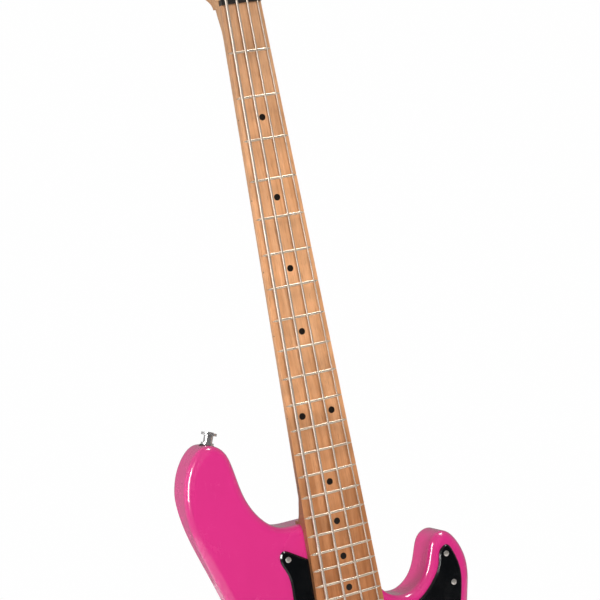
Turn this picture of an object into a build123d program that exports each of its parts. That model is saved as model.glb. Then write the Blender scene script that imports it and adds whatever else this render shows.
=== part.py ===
# Short-scale four-string electric bass guitar, standing upright.
# Millimetres.  +Z runs up the neck, the strings face -Y, and the treble side is +X.
# The origin is the seat of the end strap button, on the body's bottom centre line.
import os
from math import asin, atan2, cos, degrees, pi, radians, sin

from build123d import *

# ---- scale and overall sizes ----
scale_length = 762.0
saddle_height = 78.0          # body end to the nominal saddle line
body_thickness = 42.0
body_round = 8.0              # rounded front and back edges
lower_bout_half = 153.0
board_proud = 9.5             # fingerboard crown above the body's front
neck_joint = 296.5            # body's neck edge above the saddle line

# ---- neck, board and frets ----
nut_width = 38.0
heel_width = 64.0
board_radius = 241.0
board_thickness = 5.5
board_overhang = 7.0          # board past the last fret
fret_count = 22
fret_crown = 1.1
fret_width = 2.4
fret_tang = 1.6
fret_tang_width = 0.55
slot_clearance = 0.05
neck_depth_nut = 16.5         # wood behind the board, flush with the headstock's back
neck_depth_heel = 17.5
heel_depth = 20.0
heel_fade = 22.0              # heel to round neck
head_fade = 28.0              # round neck to flat headstock
scoop_radius = 14.0
dot_radius = 3.0
dot_depth = 1.5
side_dot_radius = 1.1
side_dot_depth = 3.0
fret_inset = 0.25             # fret ends stop short of the board's edge
nut_length = 5.0
nut_proud = 2.6

# ---- headstock and tuners ----
headstock_drop = 9.0          # headstock face behind the board crown
headstock_thickness = 13.0
headstock_width = 44.0
first_post = 46.0
post_pitch = 38.0
post_radius = 6.0
post_waist = 4.6
post_step = 2.2               # headstock face to the wound waist
post_height = 20.0
post_cap = 6.8
bushing_radius = 8.5
bushing_flange = 10.5
tuner_edge = 19.0             # post line to the headstock's bass edge
plate_thickness = 1.5
gear_radius = 8.5
gear_thickness = 5.0
worm_radius = 4.0
shaft_radius = 2.5
key_half = 13.0
key_thickness = 6.0
rod_radius = 2.5
rod_nut_radius = 4.0
retainer_radius = 6.5
retainer_stand = 6.0          # height of the retainer's underside
retainer_cap = 2.4
retainer_head = 2.3
retainer_rise = 62.0          # retainer above the nut
retainer_gap = 0.7            # lets the bent string clear the retainer's edges
tuner_plate_length = 31.0
tuner_plate_width = 35.0
neck_rod_level = 6.5          # truss rod's centre behind the board
neck_rod_stop = 30.0          # truss rod ends short of the nut

# ---- strings ----
nut_spread = 29.5
saddle_spread = 57.0
string_radii = [1.33, 1.08, 0.82, 0.57]
action_first = 0.5
action_bridge = 3.9
winding_turns = 2
winding_gap = 0.05
ball_radius = 2.5

# ---- bridge ----
bridge_half = 39.0
bridge_back = 46.0
bridge_front = 24.0
bridge_sheet = 2.0
bridge_wall = 16.0
saddle_radius = 4.0
saddle_length = 17.0
saddle_travel = 8.0
saddle_bite = 0.6             # string groove, wide of the string all round
saddle_dip = 0.7              # string below the barrel's top
intonation_radius = 1.4
intonation_offset = 3.9
height_screw_radius = 1.2
height_screw_offset = 6.8
spring_wire = 0.3
spring_radius = 2.0
compensation = [3.5, 2.5, 1.5, 0.5]

# ---- pickguard, pickup and controls ----
guard_thickness = 2.3
guard_bevel = 1.2
guard_gap = 0.4
pickup_length = 56.0
pickup_width = 28.0
pickup_proud = 7.0
pickup_wall = 1.5
pickup_centre = 114.0
pickup_shift = 17.6           # each half's middle, either side of the centre line
pickup_screw_radius = 1.2
pole_radius = 2.4
pot_radius = 12.0
pot_height = 9.0
pot_bushing = 4.8
pot_shaft = 3.0
knob_radius = 9.5
knob_height = 16.0
jack_bore = 3.25
jack_sleeve = 4.7
jack_length = 22.0
jack_flange = 1.6
cavity_depth = 34.0
cavity_width = 34.0
cavity_length = 104.0
cavity_lean = 71.0
wire_radius = 0.7

# ---- fasteners, plates and strap buttons ----
plate_half_width = 25.0
plate_half_height = 31.0
neck_plate_thickness = 1.6
button_radius = 7.0
button_waist = 4.2
button_height = 13.0
washer_thickness = 2.0
button_lean = 22.0            # horn button leans towards the treble side
neck_screw_radius = 2.3
neck_bite = 15.0              # neck screw's length in the heel
guard_screw_radius = 1.3
guard_screw_head = 2.8
wood_screw_radius = 1.8
button_screw_radius = 2.0

# ---- fits ----
running = 0.05
loose = 0.3
moving_gap = 0.35

front = -body_thickness / 2
back = body_thickness / 2
crown = front - board_proud
board_back = crown + board_thickness
saddle_z = saddle_height
nut_z = saddle_z + scale_length
board_end = saddle_z + scale_length * 2 ** (-fret_count / 12) - board_overhang
neck_edge = saddle_z + neck_joint
pocket_floor = board_back + heel_depth
plate_z = (board_end + neck_edge) / 2 + 2
rod_y_level = board_back + neck_rod_level
face = crown + headstock_drop
head_back = face + headstock_thickness
guard_front = front - guard_thickness
hole_level = front - 4.2      # where the strings leave the bridge's wall
volume_place = (86, saddle_z + 36)
tone_place = (98.5, saddle_z + 4)
jack_place = (108, saddle_z - 28)
retainer_place = (nut_spread / 3, nut_z + retainer_rise)

# Directions along the line of string posts and out past the headstock's bass edge.
lean = atan2(nut_spread, 3 * post_pitch)
along = Vector(sin(lean), cos(lean))
outward = Vector(-cos(lean), sin(lean))
plate_back = head_back + plate_thickness
mesh_y = plate_back + loose + worm_radius
worm_offset = gear_radius + worm_radius + moving_gap
string_names = ["e", "a", "d", "g"]
parts = {}


def looking_back(y):
    # Sketch plane whose local axes are X and Z, with its normal towards the strings.
    return Plane((0, y, 0), x_dir=(1, 0, 0), z_dir=(0, -1, 0))


def slab(face_shape, y_back, y_front):
    # A flat outline drawn in X and Z, filled from y_back forward to y_front.
    return extrude(looking_back(y_back) * face_shape, y_back - y_front)


def box(x0, x1, y0, y1, z0, z1):
    return Pos((x0 + x1) / 2, (y0 + y1) / 2, (z0 + z1) / 2) * Box(x1 - x0, y1 - y0, z1 - z0)


def rod_y(x, z, y0, y1, radius):
    return Pos(x, (y0 + y1) / 2, z) * Rot(90, 0, 0) * Cylinder(radius, abs(y1 - y0))


def rod_z(x, y, z0, z1, radius):
    return Pos(x, y, (z0 + z1) / 2) * Cylinder(radius, z1 - z0)


def rod_x(y, z, x0, x1, radius):
    return Pos((x0 + x1) / 2, y, z) * Rot(0, 90, 0) * Cylinder(radius, x1 - x0)


def smooth(points, start, finish):
    # Smooth curve through the points, leaving and arriving in the given directions.
    return Spline(*points, tangents=[start, finish], tangent_scalars=[1, 1])


def join(shapes):
    whole = shapes[0]
    for shape in shapes[1:]:
        whole = whole + shape
    return whole


def fret_z(number):
    return saddle_z + scale_length * 2 ** (-number / 12)


def neck_half(z, clearance=0.0):
    # Half width of the tapering neck at height z.
    run = (nut_z - z) / (nut_z - board_end)
    return (nut_width + (heel_width - nut_width) * run) / 2 + clearance


def neck_strip(z0, z1, clearance=0.0):
    low = neck_half(z0, clearance)
    high = neck_half(z1, clearance)
    return make_face(Polyline((-low, z0), (low, z0), (high, z1), (-high, z1), close=True))


def string_x(index, z):
    # Straight run of each string, spread a little wider at the bridge than at the nut.
    run = (nut_z - z) / scale_length
    spread = nut_spread + (saddle_spread - nut_spread) * run
    return spread * (index / 3 - 0.5)


def string_under(index, z):
    # Height of the string's underside, following the board's curve across the strings.
    run = (nut_z - z) / scale_length
    line = crown - fret_crown - action_first - run * (action_bridge - action_first)
    x = string_x(index, z)
    return line + x * x / (2 * board_radius)


# ---- body ----
def body_outline():
    # Wall line of the body, drawn from the saddle line and moved up to it.
    waist = lower_bout_half - 48
    side = [
        (-36, neck_joint),
        (-50, 298.5),
        (-66, 311.5),
        (-77, 334),
        (-82.5, 362),
        (-89.5, 378),
        (-104, 384),
        (-119, 373.5),
        (-129, 353),
        (-131.5, 326),
        (-122, 282),
        (-109, 240),
        (3 - waist, 200),
        (-10 - waist, 150),
        (12 - lower_bout_half, 80),
        (5 - lower_bout_half, 20),
        (22 - lower_bout_half, -38),
        (-75, -73),
        (0, -saddle_height),
        (75, -74),
        (lower_bout_half - 23, -50),
        (lower_bout_half + 2, -10),
        (lower_bout_half, 40),
        (22 + waist, 95),
        (9 + waist, 145),
        (122, 195),
        (126.4, 221),
        (120.5, 245),
        (107.5, 257.5),
        (96.5, 254),
        (89, 241),
        (78.5, 220),
        (heel_width / 2 + 26, 209.5),
    ]
    top = neck_joint
    corner = 12.0
    edge = heel_width / 2 + 1
    scoop = side[-1][0] - edge
    curve = smooth(side, (-1, 0), (-1, 0))
    cutaway = CenterArc((side[-1][0], side[-1][1] + scoop), scoop, 180, 90)
    rise = Line((edge, side[-1][1] + scoop), (edge, top - corner))
    bend = CenterArc((edge - corner, top - corner), corner, 0, 90)
    across = Line((edge - corner, top), side[0])
    return make_face(Pos(0, saddle_height) * Wire([curve, cutaway, rise, bend, across]))


def pickup_pocket(side):
    x = side * pickup_shift
    z = saddle_z + pickup_centre - side * pickup_width / 2
    return x, z


def belly_dish():
    # Shallow hollow on the back of the bass side, where the player's ribs rest.
    reach = 130.0
    depth = 25.0
    radius = (reach ** 2 + depth ** 2) / (2 * depth)
    return Pos(-160, back - depth + radius, saddle_z + 235) * Sphere(radius)


def button_places():
    tilt = radians(button_lean)
    horn = (-97.5, saddle_z + 381.2, sin(tilt), cos(tilt))
    end = (0, 0, 0, -1)
    return [end, horn]


def at_button(place, start, finish, radius):
    # A rod along a strap button's own axis, from its seat outwards.
    x, z, dx, dz = place
    middle = (start + finish) / 2
    turn = degrees(atan2(dx, dz))
    rod = Cylinder(radius, finish - start)
    return Pos(x + dx * middle, 0, z + dz * middle) * Rot(0, turn, 0) * rod


def neck_screw_places():
    spots = []
    for x in (-plate_half_width + 6.5, plate_half_width - 6.5):
        for z in (plate_z - plate_half_height + 6.5, plate_z + plate_half_height - 6.5):
            spots.append((x, z))
    return spots


def body_shape():
    shape = slab(body_outline(), back, front)
    rims = shape.edges().filter_by_position(Axis.Y, front - 0.01, front + 0.01)
    rims = rims + shape.edges().filter_by_position(Axis.Y, back - 0.01, back + 0.01)
    shape = fillet(rims, body_round)
    shape = shape - belly_dish()
    pocket = neck_strip(board_end - 1, neck_edge + 40, running)
    shape = shape - slab(pocket, pocket_floor, front - 5)
    for side in (-1, 1):
        x, z = pickup_pocket(side)
        half = pickup_length / 2 + 1
        tall = pickup_width / 2 + 1
        shape = shape - box(x - half, x + half, front - 5, front + 20, z - tall, z + tall)
    room = Pos(97, saddle_z + 4) * Rot(0, 0, -cavity_lean) * SlotOverall(cavity_length, cavity_width)
    shape = shape - slab(room, front + cavity_depth, front - 5)
    link = Pos(54, saddle_z + 72) * Rot(0, 0, -45) * Rectangle(70, 12)
    shape = shape - slab(link, front + 18, front - 5)
    for x, z in neck_screw_places():
        shape = shape - rod_y(x, z, pocket_floor - 1, back + 1, neck_screw_radius + running)
    for x, z in bridge_screw_places():
        shape = shape - rod_y(x, z, front + 16, front - 1, wood_screw_radius)
    for x, z in guard_screw_places():
        shape = shape - rod_y(x, z, front + 8, front - 1, guard_screw_radius)
    for place in button_places():
        shape = shape - at_button(place, -26, 0, button_screw_radius)
        shape = shape - at_button(place, 0, 6, button_radius + 0.5)
    return shape


# ---- pickguard ----
def guard_outline():
    # The guard wraps the neck's end, reaches the treble horn and widens over the controls.
    edge = [
        (-47.5, 276.2), (-53.6, 277.2), (-56.4, 272.5), (-52.4, 258), (-50.8, 235), (-52, 175),
        (-56, 118), (-46, 84), (-10, 70), (34, 66), (50, 38), (56, 0), (72, -40), (102, -56),
        (132, -40), (146, 0), (138, 52), (112, 108), (104, 148), (111.5, 194), (115.8, 221),
        (112, 237), (106, 245.5), (99.6, 242.5), (95.5, 231), (86.5, 216.5), (73, 204.8),
        (57, 199.2), (40, 204), (30, 214),
    ]
    # The closing lines lie under the neck, which is cut out afterwards.
    inside = (-10, 252.2)
    top_edge = (edge[0][0] - inside[0], edge[0][1] - inside[1])
    curve = smooth(edge, top_edge, (-0.6, 0.8))
    rest = Polyline(edge[-1], (inside[0], edge[-1][1]), inside, edge[0])
    return make_face(Pos(0, saddle_height) * Wire([curve] + rest.edges()))


def guard_screw_places():
    spots = [
        (-49.5, 269.5), (-46, 190), (-49, 108), (0, 76), (46, 62), (62, -8), (82, -40), (125, -37.5),
        (138, 8), (124, 66), (99, 120), (99, 165), (106.5, 210), (104, 237.5),
    ]
    return [(x, saddle_z + z) for x, z in spots]


def pickguard():
    sheet = slab(guard_outline(), front, guard_front)
    top_edges = sheet.edges().filter_by_position(Axis.Y, guard_front - 0.01, guard_front + 0.01)
    sheet = chamfer(top_edges, guard_bevel)
    tongue = neck_strip(board_end - guard_gap, neck_edge + 40, guard_gap)
    sheet = sheet - slab(tongue, front + 1, guard_front - 1)
    for side in (-1, 1):
        x, z = pickup_pocket(side)
        hole = Pos(x, z) * RectangleRounded(pickup_length + 1, pickup_width + 0.6, 3.4)
        sheet = sheet - slab(hole, front + 1, guard_front - 1)
    for x, z in (volume_place, tone_place):
        sheet = sheet - rod_y(x, z, front + 1, guard_front - 1, pot_bushing + running)
    sheet = sheet - rod_y(*jack_place, front + 1, guard_front - 1, jack_sleeve + running)
    for x, z in guard_screw_places():
        sheet = sheet - rod_y(x, z, front + 1, guard_front - 1, guard_screw_radius + 0.2)
        sheet = sheet - countersink(x, z, guard_front, guard_screw_radius + 0.2, guard_screw_head)
    return sheet


def countersink(x, z, y_top, inner, outer):
    # Cone whose wide end is at y_top and which narrows into the piece at 45 degrees.
    depth = outer - inner
    return Pos(x, y_top + depth / 2, z) * Rot(90, 0, 0) * Cone(inner, outer, depth)


def screw(x, z, y_top, head, shank, length, dome):
    # Countersunk, slightly domed cross-head screw driven towards +Y.
    cone = countersink(x, z, y_top, shank, head)
    stem = rod_y(x, z, y_top + head - shank, y_top + length, shank)
    ball = (head ** 2 + dome ** 2) / (2 * dome)
    cap = Pos(x, y_top - dome + ball, z) * Sphere(ball)
    cap = cap & rod_y(x, z, y_top - dome - 1, y_top, head)
    recess = Pos(x, y_top - dome + 0.6, z) * (Box(head, 1.6, 0.7) + Box(0.7, 1.6, head))
    return cone + stem + cap - recess


# ---- neck ----
def neck_section(z, depth, fullness):
    # Rounded back of the neck: fullness 2 is an ellipse, and a larger value is squarer.
    half = neck_half(z)
    steps = 10
    points = []
    for step in range(steps + 1):
        angle = pi * step / steps
        x = half * abs(cos(angle)) ** (2 / fullness)
        y = depth * sin(angle) ** (2 / fullness) if 0 < step < steps else 0
        points.append((x if step <= steps / 2 else -x, board_back + y, z))
    top = Line(points[-1], points[0])
    return make_face(Wire([Spline(*points), top]))


def neck_wood():
    # Ellipse-backed neck that fills out into the square heel and the headstock's flat back.
    heel = neck_edge + 2
    body_side = []
    for share in (0, 0.25, 0.5, 0.75, 1):
        depth = heel_depth + (neck_depth_heel - heel_depth) * share
        body_side.append(neck_section(heel + heel_fade * share, depth, 6 - 3.9 * share ** 0.5))
    head_side = []
    for share in (0, 0.25, 0.5, 0.75, 1):
        z = nut_z - head_fade * (1 - share)
        head_side.append(neck_section(z, neck_depth_nut, 2.1 + 3.9 * share ** 2))
    block = slab(neck_strip(board_end, heel), pocket_floor, board_back)
    middle = loft([body_side[-1], head_side[0]], ruled=True)
    return loft(body_side, ruled=True) + middle + loft(head_side, ruled=True) + block


def headstock_outline():
    corner_low = Vector(*post_place(0)) + outward * tuner_edge - along * 19
    corner_high = corner_low + along * (3 * post_pitch + 39)
    treble_high = corner_high - outward * headstock_width - along * 8
    half = nut_width / 2
    bass = smooth([(-half, nut_z), (corner_low.X, corner_low.Y)], (0, 1), (along.X, along.Y))
    edge = Line(corner_low, corner_high)
    crest = (corner_high + treble_high) * 0.5 + along * 9
    top = ThreePointArc(corner_high, crest, treble_high)
    neck_side = (half, nut_z)
    fall = smooth([treble_high, (half + 7, nut_z + 52), neck_side], (-along.X, -along.Y), (0, -1))
    base = Line(neck_side, (-half, nut_z))
    outline = make_face(Wire([bass, edge, top, fall, base]))
    tips = outline.vertices().filter_by_position(Axis.Y, nut_z + 100, nut_z + 250)
    return fillet(tips, 9)


def post_place(index):
    x = string_x(index, nut_z) - post_waist - string_radii[index] - winding_gap
    return x, nut_z + first_post + index * post_pitch


def neck():
    # The headstock face drops behind the nut in a short scoop.
    drop = face - board_back
    run = (2 * scoop_radius * drop - drop ** 2) ** 0.5
    start = nut_z + nut_length + 1 + run
    head = slab(headstock_outline(), head_back, board_back)
    head = head - box(-90, 90, board_back - 1, face, start, start + 300)
    head = head - rod_x(face - scoop_radius, start, -90, 90, scoop_radius)
    shape = neck_wood() + head
    for index in range(4):
        x, z = post_place(index)
        shape = shape - rod_y(x, z, head_back + 1, face - 1, bushing_radius + running)
    for x, z in neck_screw_places():
        shape = shape - rod_y(x, z, pocket_floor - neck_bite, pocket_floor + 1, neck_screw_radius)
    shape = shape - rod_z(0, rod_y_level, board_end + 12, nut_z - neck_rod_stop, rod_radius)
    shape = shape - rod_z(0, rod_y_level, board_end - 1, board_end + 12, rod_nut_radius + moving_gap)
    x, z = retainer_place
    shape = shape - rod_y(x, z, face + 9, face - 1, guard_screw_radius)
    for solid in tuner_screws():
        shape = shape - solid
    return shape


def fingerboard():
    board = slab(neck_strip(board_end, nut_z), board_back, crown - 1)
    board = board & rod_z(0, crown + board_radius, board_end - 1, nut_z + 1, board_radius)
    half_slot = fret_tang_width / 2 + slot_clearance
    slot_floor = board_radius - fret_tang - slot_clearance
    for number in range(1, fret_count + 1):
        z = fret_z(number)
        cut = rod_z(0, crown + board_radius, z - half_slot, z + half_slot, board_radius + 1)
        board = board - (cut - rod_z(0, crown + board_radius, z - 1, z + 1, slot_floor))
    for x, z in dot_places():
        board = board - rod_y(x, z, crown + dot_depth, crown - 1, dot_radius)
    for z in side_dot_places():
        board = board - side_dot(z)
    return board


def dot_places():
    places = []
    for number in (3, 5, 7, 9, 12, 15, 17, 19, 21):
        z = (fret_z(number) + fret_z(number - 1)) / 2
        if number == 12:
            places.append((string_x(0, z) / 2 + string_x(1, z) / 2, z))
            places.append((string_x(2, z) / 2 + string_x(3, z) / 2, z))
        else:
            places.append((0, z))
    return places


def side_dot_places():
    return [(fret_z(n) + fret_z(n - 1)) / 2 for n in (3, 5, 7, 9, 12, 15, 17, 19)]


def side_dot(z):
    half = neck_half(z)
    middle = board_back - board_thickness / 2 + 0.4
    return rod_x(middle, z, -half, side_dot_depth - half, side_dot_radius)


def fret(number):
    # Fret wire bent to the board's curve: a domed crown with a tang pressed in the slot.
    z = fret_z(number)
    reach = asin((neck_half(z) - fret_inset) / board_radius)
    wide = fret_width / 2
    low = board_radius - fret_tang
    slim = fret_tang_width / 2
    top = board_radius
    dome = ThreePointArc((top, wide), (top + fret_crown, 0), (top, -wide))
    under = Polyline((top, -wide), (top, -slim), (low, -slim), (low, slim), (top, slim), (top, wide))
    centre = (0, crown + board_radius, z)
    outwards = (sin(reach), -cos(reach), 0)
    sideways = (-cos(reach), -sin(reach), 0)
    section = Plane(centre, x_dir=outwards, z_dir=sideways) * make_face(Wire([dome] + under.edges()))
    return revolve(section, Axis(centre, (0, 0, 1)), -2 * degrees(reach))


def nut_piece():
    low = nut_z - 1
    high = nut_z + nut_length + 1
    block = slab(neck_strip(nut_z, nut_z + nut_length), board_back, crown - nut_proud - 1)
    block = block & rod_z(0, crown + board_radius, low, high, board_radius + nut_proud)
    for index in range(4):
        x = string_x(index, nut_z)
        y = string_under(index, nut_z) - string_radii[index]
        radius = string_radii[index] + running
        block = block - rod_z(x, y, low, high, radius)
        block = block - box(x - radius, x + radius, y - 6, y, low, high)
    return block


# ---- tuners ----
def tuner_frame(index):
    # Local X runs along the headstock's edge, local Y away from it inwards, local Z to the back.
    x, z = post_place(index)
    return Plane((x, 0, z), x_dir=(along.X, 0, along.Y), z_dir=(0, 1, 0))


def on_tuner(index, shape):
    return tuner_frame(index) * shape


def tuner_plate(index):
    flat = Pos(0.5, -3.5) * RectangleRounded(tuner_plate_length, tuner_plate_width, 4)
    plate = extrude(Plane.XY.offset(head_back) * flat, plate_thickness)
    plate = plate - Pos(0, 0, head_back) * Cylinder(post_radius + running, 8)
    for place in (-10, 10):
        lug = Pos(worm_offset, place, plate_back + 4.4) * Box(8.6, 3.4, 9)
        plate = plate + lug
    bore = Pos(worm_offset, 0, mesh_y) * Rot(90, 0, 0) * Cylinder(shaft_radius + running, 40)
    plate = plate - bore
    for u, v in screw_spots():
        plate = plate - Pos(u, v, plate_back) * Cylinder(1.45, 8)
    return on_tuner(index, plate)


def screw_spots():
    return [(-12, -18), (-12, 11), (4.5, 11), (4.5, -18)]


def tuner_screws():
    solids = []
    for index in range(4):
        for u, v in screw_spots():
            head = Pos(u, v, plate_back + 0.6) * Cylinder(2.4, 1.2)
            slot = Pos(u, v, plate_back + 1.1) * Box(4, 0.7, 0.8)
            stem = Pos(u, v, plate_back - 4.5) * Cylinder(1.4, 9)
            solids.append(on_tuner(index, head + stem - slot))
    return solids


def tuner_bushing(index):
    x, z = post_place(index)
    ring = rod_y(x, z, face, face + 8, bushing_radius) + rod_y(x, z, face - 1.5, face, bushing_flange)
    ring = ring - rod_y(x, z, face + 9, face - 3, post_radius + running)
    return ring


def tuner_post(index):
    # String post with its worm wheel and wheel screw.
    x, z = post_place(index)
    top = face - post_height
    wheel_back = mesh_y + gear_thickness / 2
    stem = rod_y(x, z, wheel_back, face - post_step, post_radius)
    waist = rod_y(x, z, face - post_step, top + 4, post_waist)
    cap = rod_y(x, z, top + 4, top, post_cap)
    cap = chamfer(cap.edges().filter_by_position(Axis.Y, top - 0.01, top + 0.01), 0.8)
    wheel = rod_y(x, z, mesh_y - gear_thickness / 2, wheel_back, gear_radius)
    notch_count = 20
    for step in range(notch_count):
        angle = 2 * pi * step / notch_count
        notch = rod_y(
            x + gear_radius * cos(angle), z + gear_radius * sin(angle), mesh_y - 3, mesh_y + 3, 0.75)
        wheel = wheel - notch
    screw_head = rod_y(x, z, wheel_back, wheel_back + 1.6, 3.2)
    slot = box(x - 4, x + 4, wheel_back + 0.9, wheel_back + 2, z - 0.4, z + 0.4)
    slit = box(x - 8, x + 8, top - 1, top + 5, z - 1, z + 1)
    return stem + waist + cap + wheel + screw_head - slot - slit


def tuner_key(index):
    # Key: worm on a shaft between the plate's lugs, with a flat oval grip outside the edge.
    end = tuner_edge + 9
    shaft = Pos(worm_offset, (12.5 - end - 2) / 2, mesh_y) * Rot(90, 0, 0)
    shaft = shaft * Cylinder(shaft_radius, 12.5 + end + 2)
    worm = Pos(worm_offset, 0, mesh_y) * Rot(90, 0, 0) * Cylinder(worm_radius, 15.6)
    for ring in range(5):
        groove = Torus(worm_radius, 0.7)
        worm = worm - Pos(worm_offset, -6 + 3 * ring, mesh_y) * Rot(90, 0, 0) * groove
    grip = Ellipse(key_half, key_half * 0.82)
    grip = extrude(Plane.XY.offset(mesh_y - key_thickness / 2) * grip, key_thickness)
    grip = fillet(grip.edges(), 2.2)
    collar = Pos(worm_offset, -end + 1.5, mesh_y) * Rot(90, 0, 0) * Cylinder(3.6, 5)
    grip = Pos(worm_offset, -end - key_half * 0.82 + 1, 0) * grip
    return on_tuner(index, shaft + worm + collar + grip)


# ---- strings ----
def winding_pitch(index):
    return 2 * string_radii[index] + winding_gap


def winding_start(index):
    # The string meets its post here and winds down towards the headstock.
    lowest = face - post_step - string_radii[index] - winding_gap
    return lowest - winding_turns * winding_pitch(index)


def string_path(index):
    radius = string_radii[index]
    lane = string_x(index, saddle_z)
    wall = saddle_z - bridge_back
    saddle = saddle_line(index)
    x_nut = string_x(index, nut_z)
    points = [
        (lane, hole_level, wall - running),
        (lane, hole_level, wall + 8),
        (lane, string_under(index, saddle) - radius, saddle),
        (x_nut, string_under(index, nut_z) - radius, nut_z + nut_length + 0.5),
    ]
    radii = [9, 14]
    if index > 1:
        points.append((x_nut, face - retainer_stand + radius + retainer_gap, retainer_place[1]))
        radii.append(40)
    points.append((x_nut, winding_start(index), post_place(index)[1] - 2 * winding_gap))
    radii.append(40)
    return FilletPolyline(*points, radius=radii)


def string_winding(index):
    radius = string_radii[index]
    pitch = winding_pitch(index)
    x, z = post_place(index)
    reach = post_waist + winding_gap + radius
    coil = Helix(pitch=pitch, height=pitch * winding_turns, radius=reach, lefthand=True)
    wire = sweep(Plane(coil @ 0, z_dir=coil % 0) * Circle(radius), path=coil)
    return Plane((x, winding_start(index), z), x_dir=(1, 0, 0), z_dir=(0, 1, 0)) * wire


def string_run(index):
    path = string_path(index)
    radius = string_radii[index]
    start = Plane(path @ 0, z_dir=path % 0)
    return sweep(start * Circle(radius), path=path)


def string_ball(index):
    lane = string_x(index, saddle_z)
    behind = saddle_z - bridge_back - ball_radius - running
    return rod_x(hole_level, behind, lane - 1.6, lane + 1.6, ball_radius)


def retainer():
    x, z = retainer_place
    low = face - retainer_stand
    disc = rod_y(x, z, low, low - retainer_cap, retainer_radius)
    disc = fillet(disc.edges(), 0.6)
    post = rod_y(x, z, face, low, 2.6)
    hole = rod_y(x, z, face + 1, low - 4, guard_screw_radius)
    return disc + post - hole - countersink(x, z, low - retainer_cap, guard_screw_radius, retainer_head)


# ---- bridge ----
def saddle_line(index):
    return saddle_z - compensation[index]


def saddle_axis_y(index):
    groove = string_under(index, saddle_line(index)) + moving_gap
    return groove - saddle_dip + saddle_radius


def bridge_screw_places():
    spots = []
    for x in (-19, 0, 19):
        spots.append((x, saddle_z - bridge_back + 9))
    for x in (-19, 19):
        spots.append((x, saddle_z + bridge_front - 6))
    return spots


def bridge_plate():
    bottom = saddle_z - bridge_back
    base = box(-bridge_half, bridge_half, front - bridge_sheet, front, bottom, saddle_z + bridge_front)
    corners = base.edges().filter_by(Axis.Y).group_by(Axis.Z)[-1]
    base = fillet(corners, 4)
    wall = box(-bridge_half, bridge_half, front - bridge_wall, front, bottom, bottom + bridge_sheet)
    wall = fillet(wall.edges().filter_by(Axis.Z).group_by(Axis.Y)[0], 3)
    plate = base + wall
    heel_edge = plate.edges().filter_by(Axis.X).filter_by_position(Axis.Z, bottom - 0.01, bottom + 0.01)
    heel_edge = heel_edge.filter_by_position(Axis.Y, front - 0.01, front + 0.01)
    plate = fillet(heel_edge, 1.6)
    for index in range(4):
        lane = string_x(index, saddle_z)
        hole = string_radii[index] + loose
        plate = plate - rod_z(lane, hole_level, bottom - 1, bottom + 3, hole)
        y = saddle_axis_y(index)
        screw_hole = intonation_radius + running
        plate = plate - rod_z(lane + intonation_offset, y, bottom - 1, bottom + 3, screw_hole)
    for x, z in bridge_screw_places():
        plate = plate - rod_y(x, z, front + 1, front - 4, wood_screw_radius + 0.2)
    return plate


def bridge_screw(x, z):
    top = front - bridge_sheet
    head = rod_y(x, z, top, top - 1.8, 3.9)
    head = fillet(head.edges().filter_by_position(Axis.Y, top - 1.9, top - 1.7), 1.2)
    recess = Pos(x, top - 1.6, z) * (Box(4.2, 1.8, 0.8) + Box(0.8, 1.8, 4.2))
    return head + rod_y(x, z, top, front + 15, wood_screw_radius) - recess


def saddle(index):
    lane = string_x(index, saddle_z)
    z = saddle_line(index)
    y = saddle_axis_y(index)
    half = saddle_length / 2
    barrel = rod_x(y, z, lane - half, lane + half, saddle_radius)
    barrel = chamfer(barrel.edges().filter_by(GeomType.CIRCLE), 0.6)
    groove = string_radii[index] + saddle_bite
    level = string_under(index, z) - string_radii[index]
    barrel = barrel - rod_z(lane, level, z, z + 6, groove)
    # Behind its highest point the groove falls with the string, which leads to the bridge's wall.
    descent = Plane((lane, level, z), z_dir=(0, hole_level - level, saddle_z - bridge_back + 8 - z))
    barrel = barrel - descent * Pos(0, 0, 4) * Cylinder(groove, 10)
    barrel = barrel - rod_z(lane + intonation_offset, y, z - 6, z + 6, intonation_radius + running)
    foot = front - bridge_sheet - moving_gap
    solids = []
    for side in (-1, 1):
        x = lane + side * height_screw_offset
        barrel = barrel - rod_y(x, z, y - 6, y + 6, height_screw_radius)
        solids.append(rod_y(x, z, foot, y - 2.6, height_screw_radius))
    return [barrel] + solids


def intonation_screw(index):
    x = string_x(index, saddle_z) + intonation_offset
    y = saddle_axis_y(index)
    bottom = saddle_z - bridge_back
    end = saddle_line(index) + saddle_radius + saddle_travel + 1
    shank = rod_z(x, y, bottom - moving_gap, end, intonation_radius)
    head = rod_z(x, y, bottom - moving_gap - 2.2, bottom - moving_gap, 2.7)
    recess = Pos(x, y, bottom - moving_gap - 2.2) * (Box(3, 0.7, 2) + Box(0.7, 3, 2))
    return shank + head - recess


def intonation_spring(index):
    x = string_x(index, saddle_z) + intonation_offset
    y = saddle_axis_y(index)
    start = saddle_z - bridge_back + bridge_sheet + spring_wire + 0.02
    finish = saddle_line(index) - saddle_radius - spring_wire - 0.02
    turns = 11
    helix = Helix(pitch=(finish - start) / turns, height=finish - start, radius=spring_radius)
    wire = Plane(helix @ 0, z_dir=helix % 0) * Circle(spring_wire)
    return Pos(x, y, start) * sweep(wire, path=helix)


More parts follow.
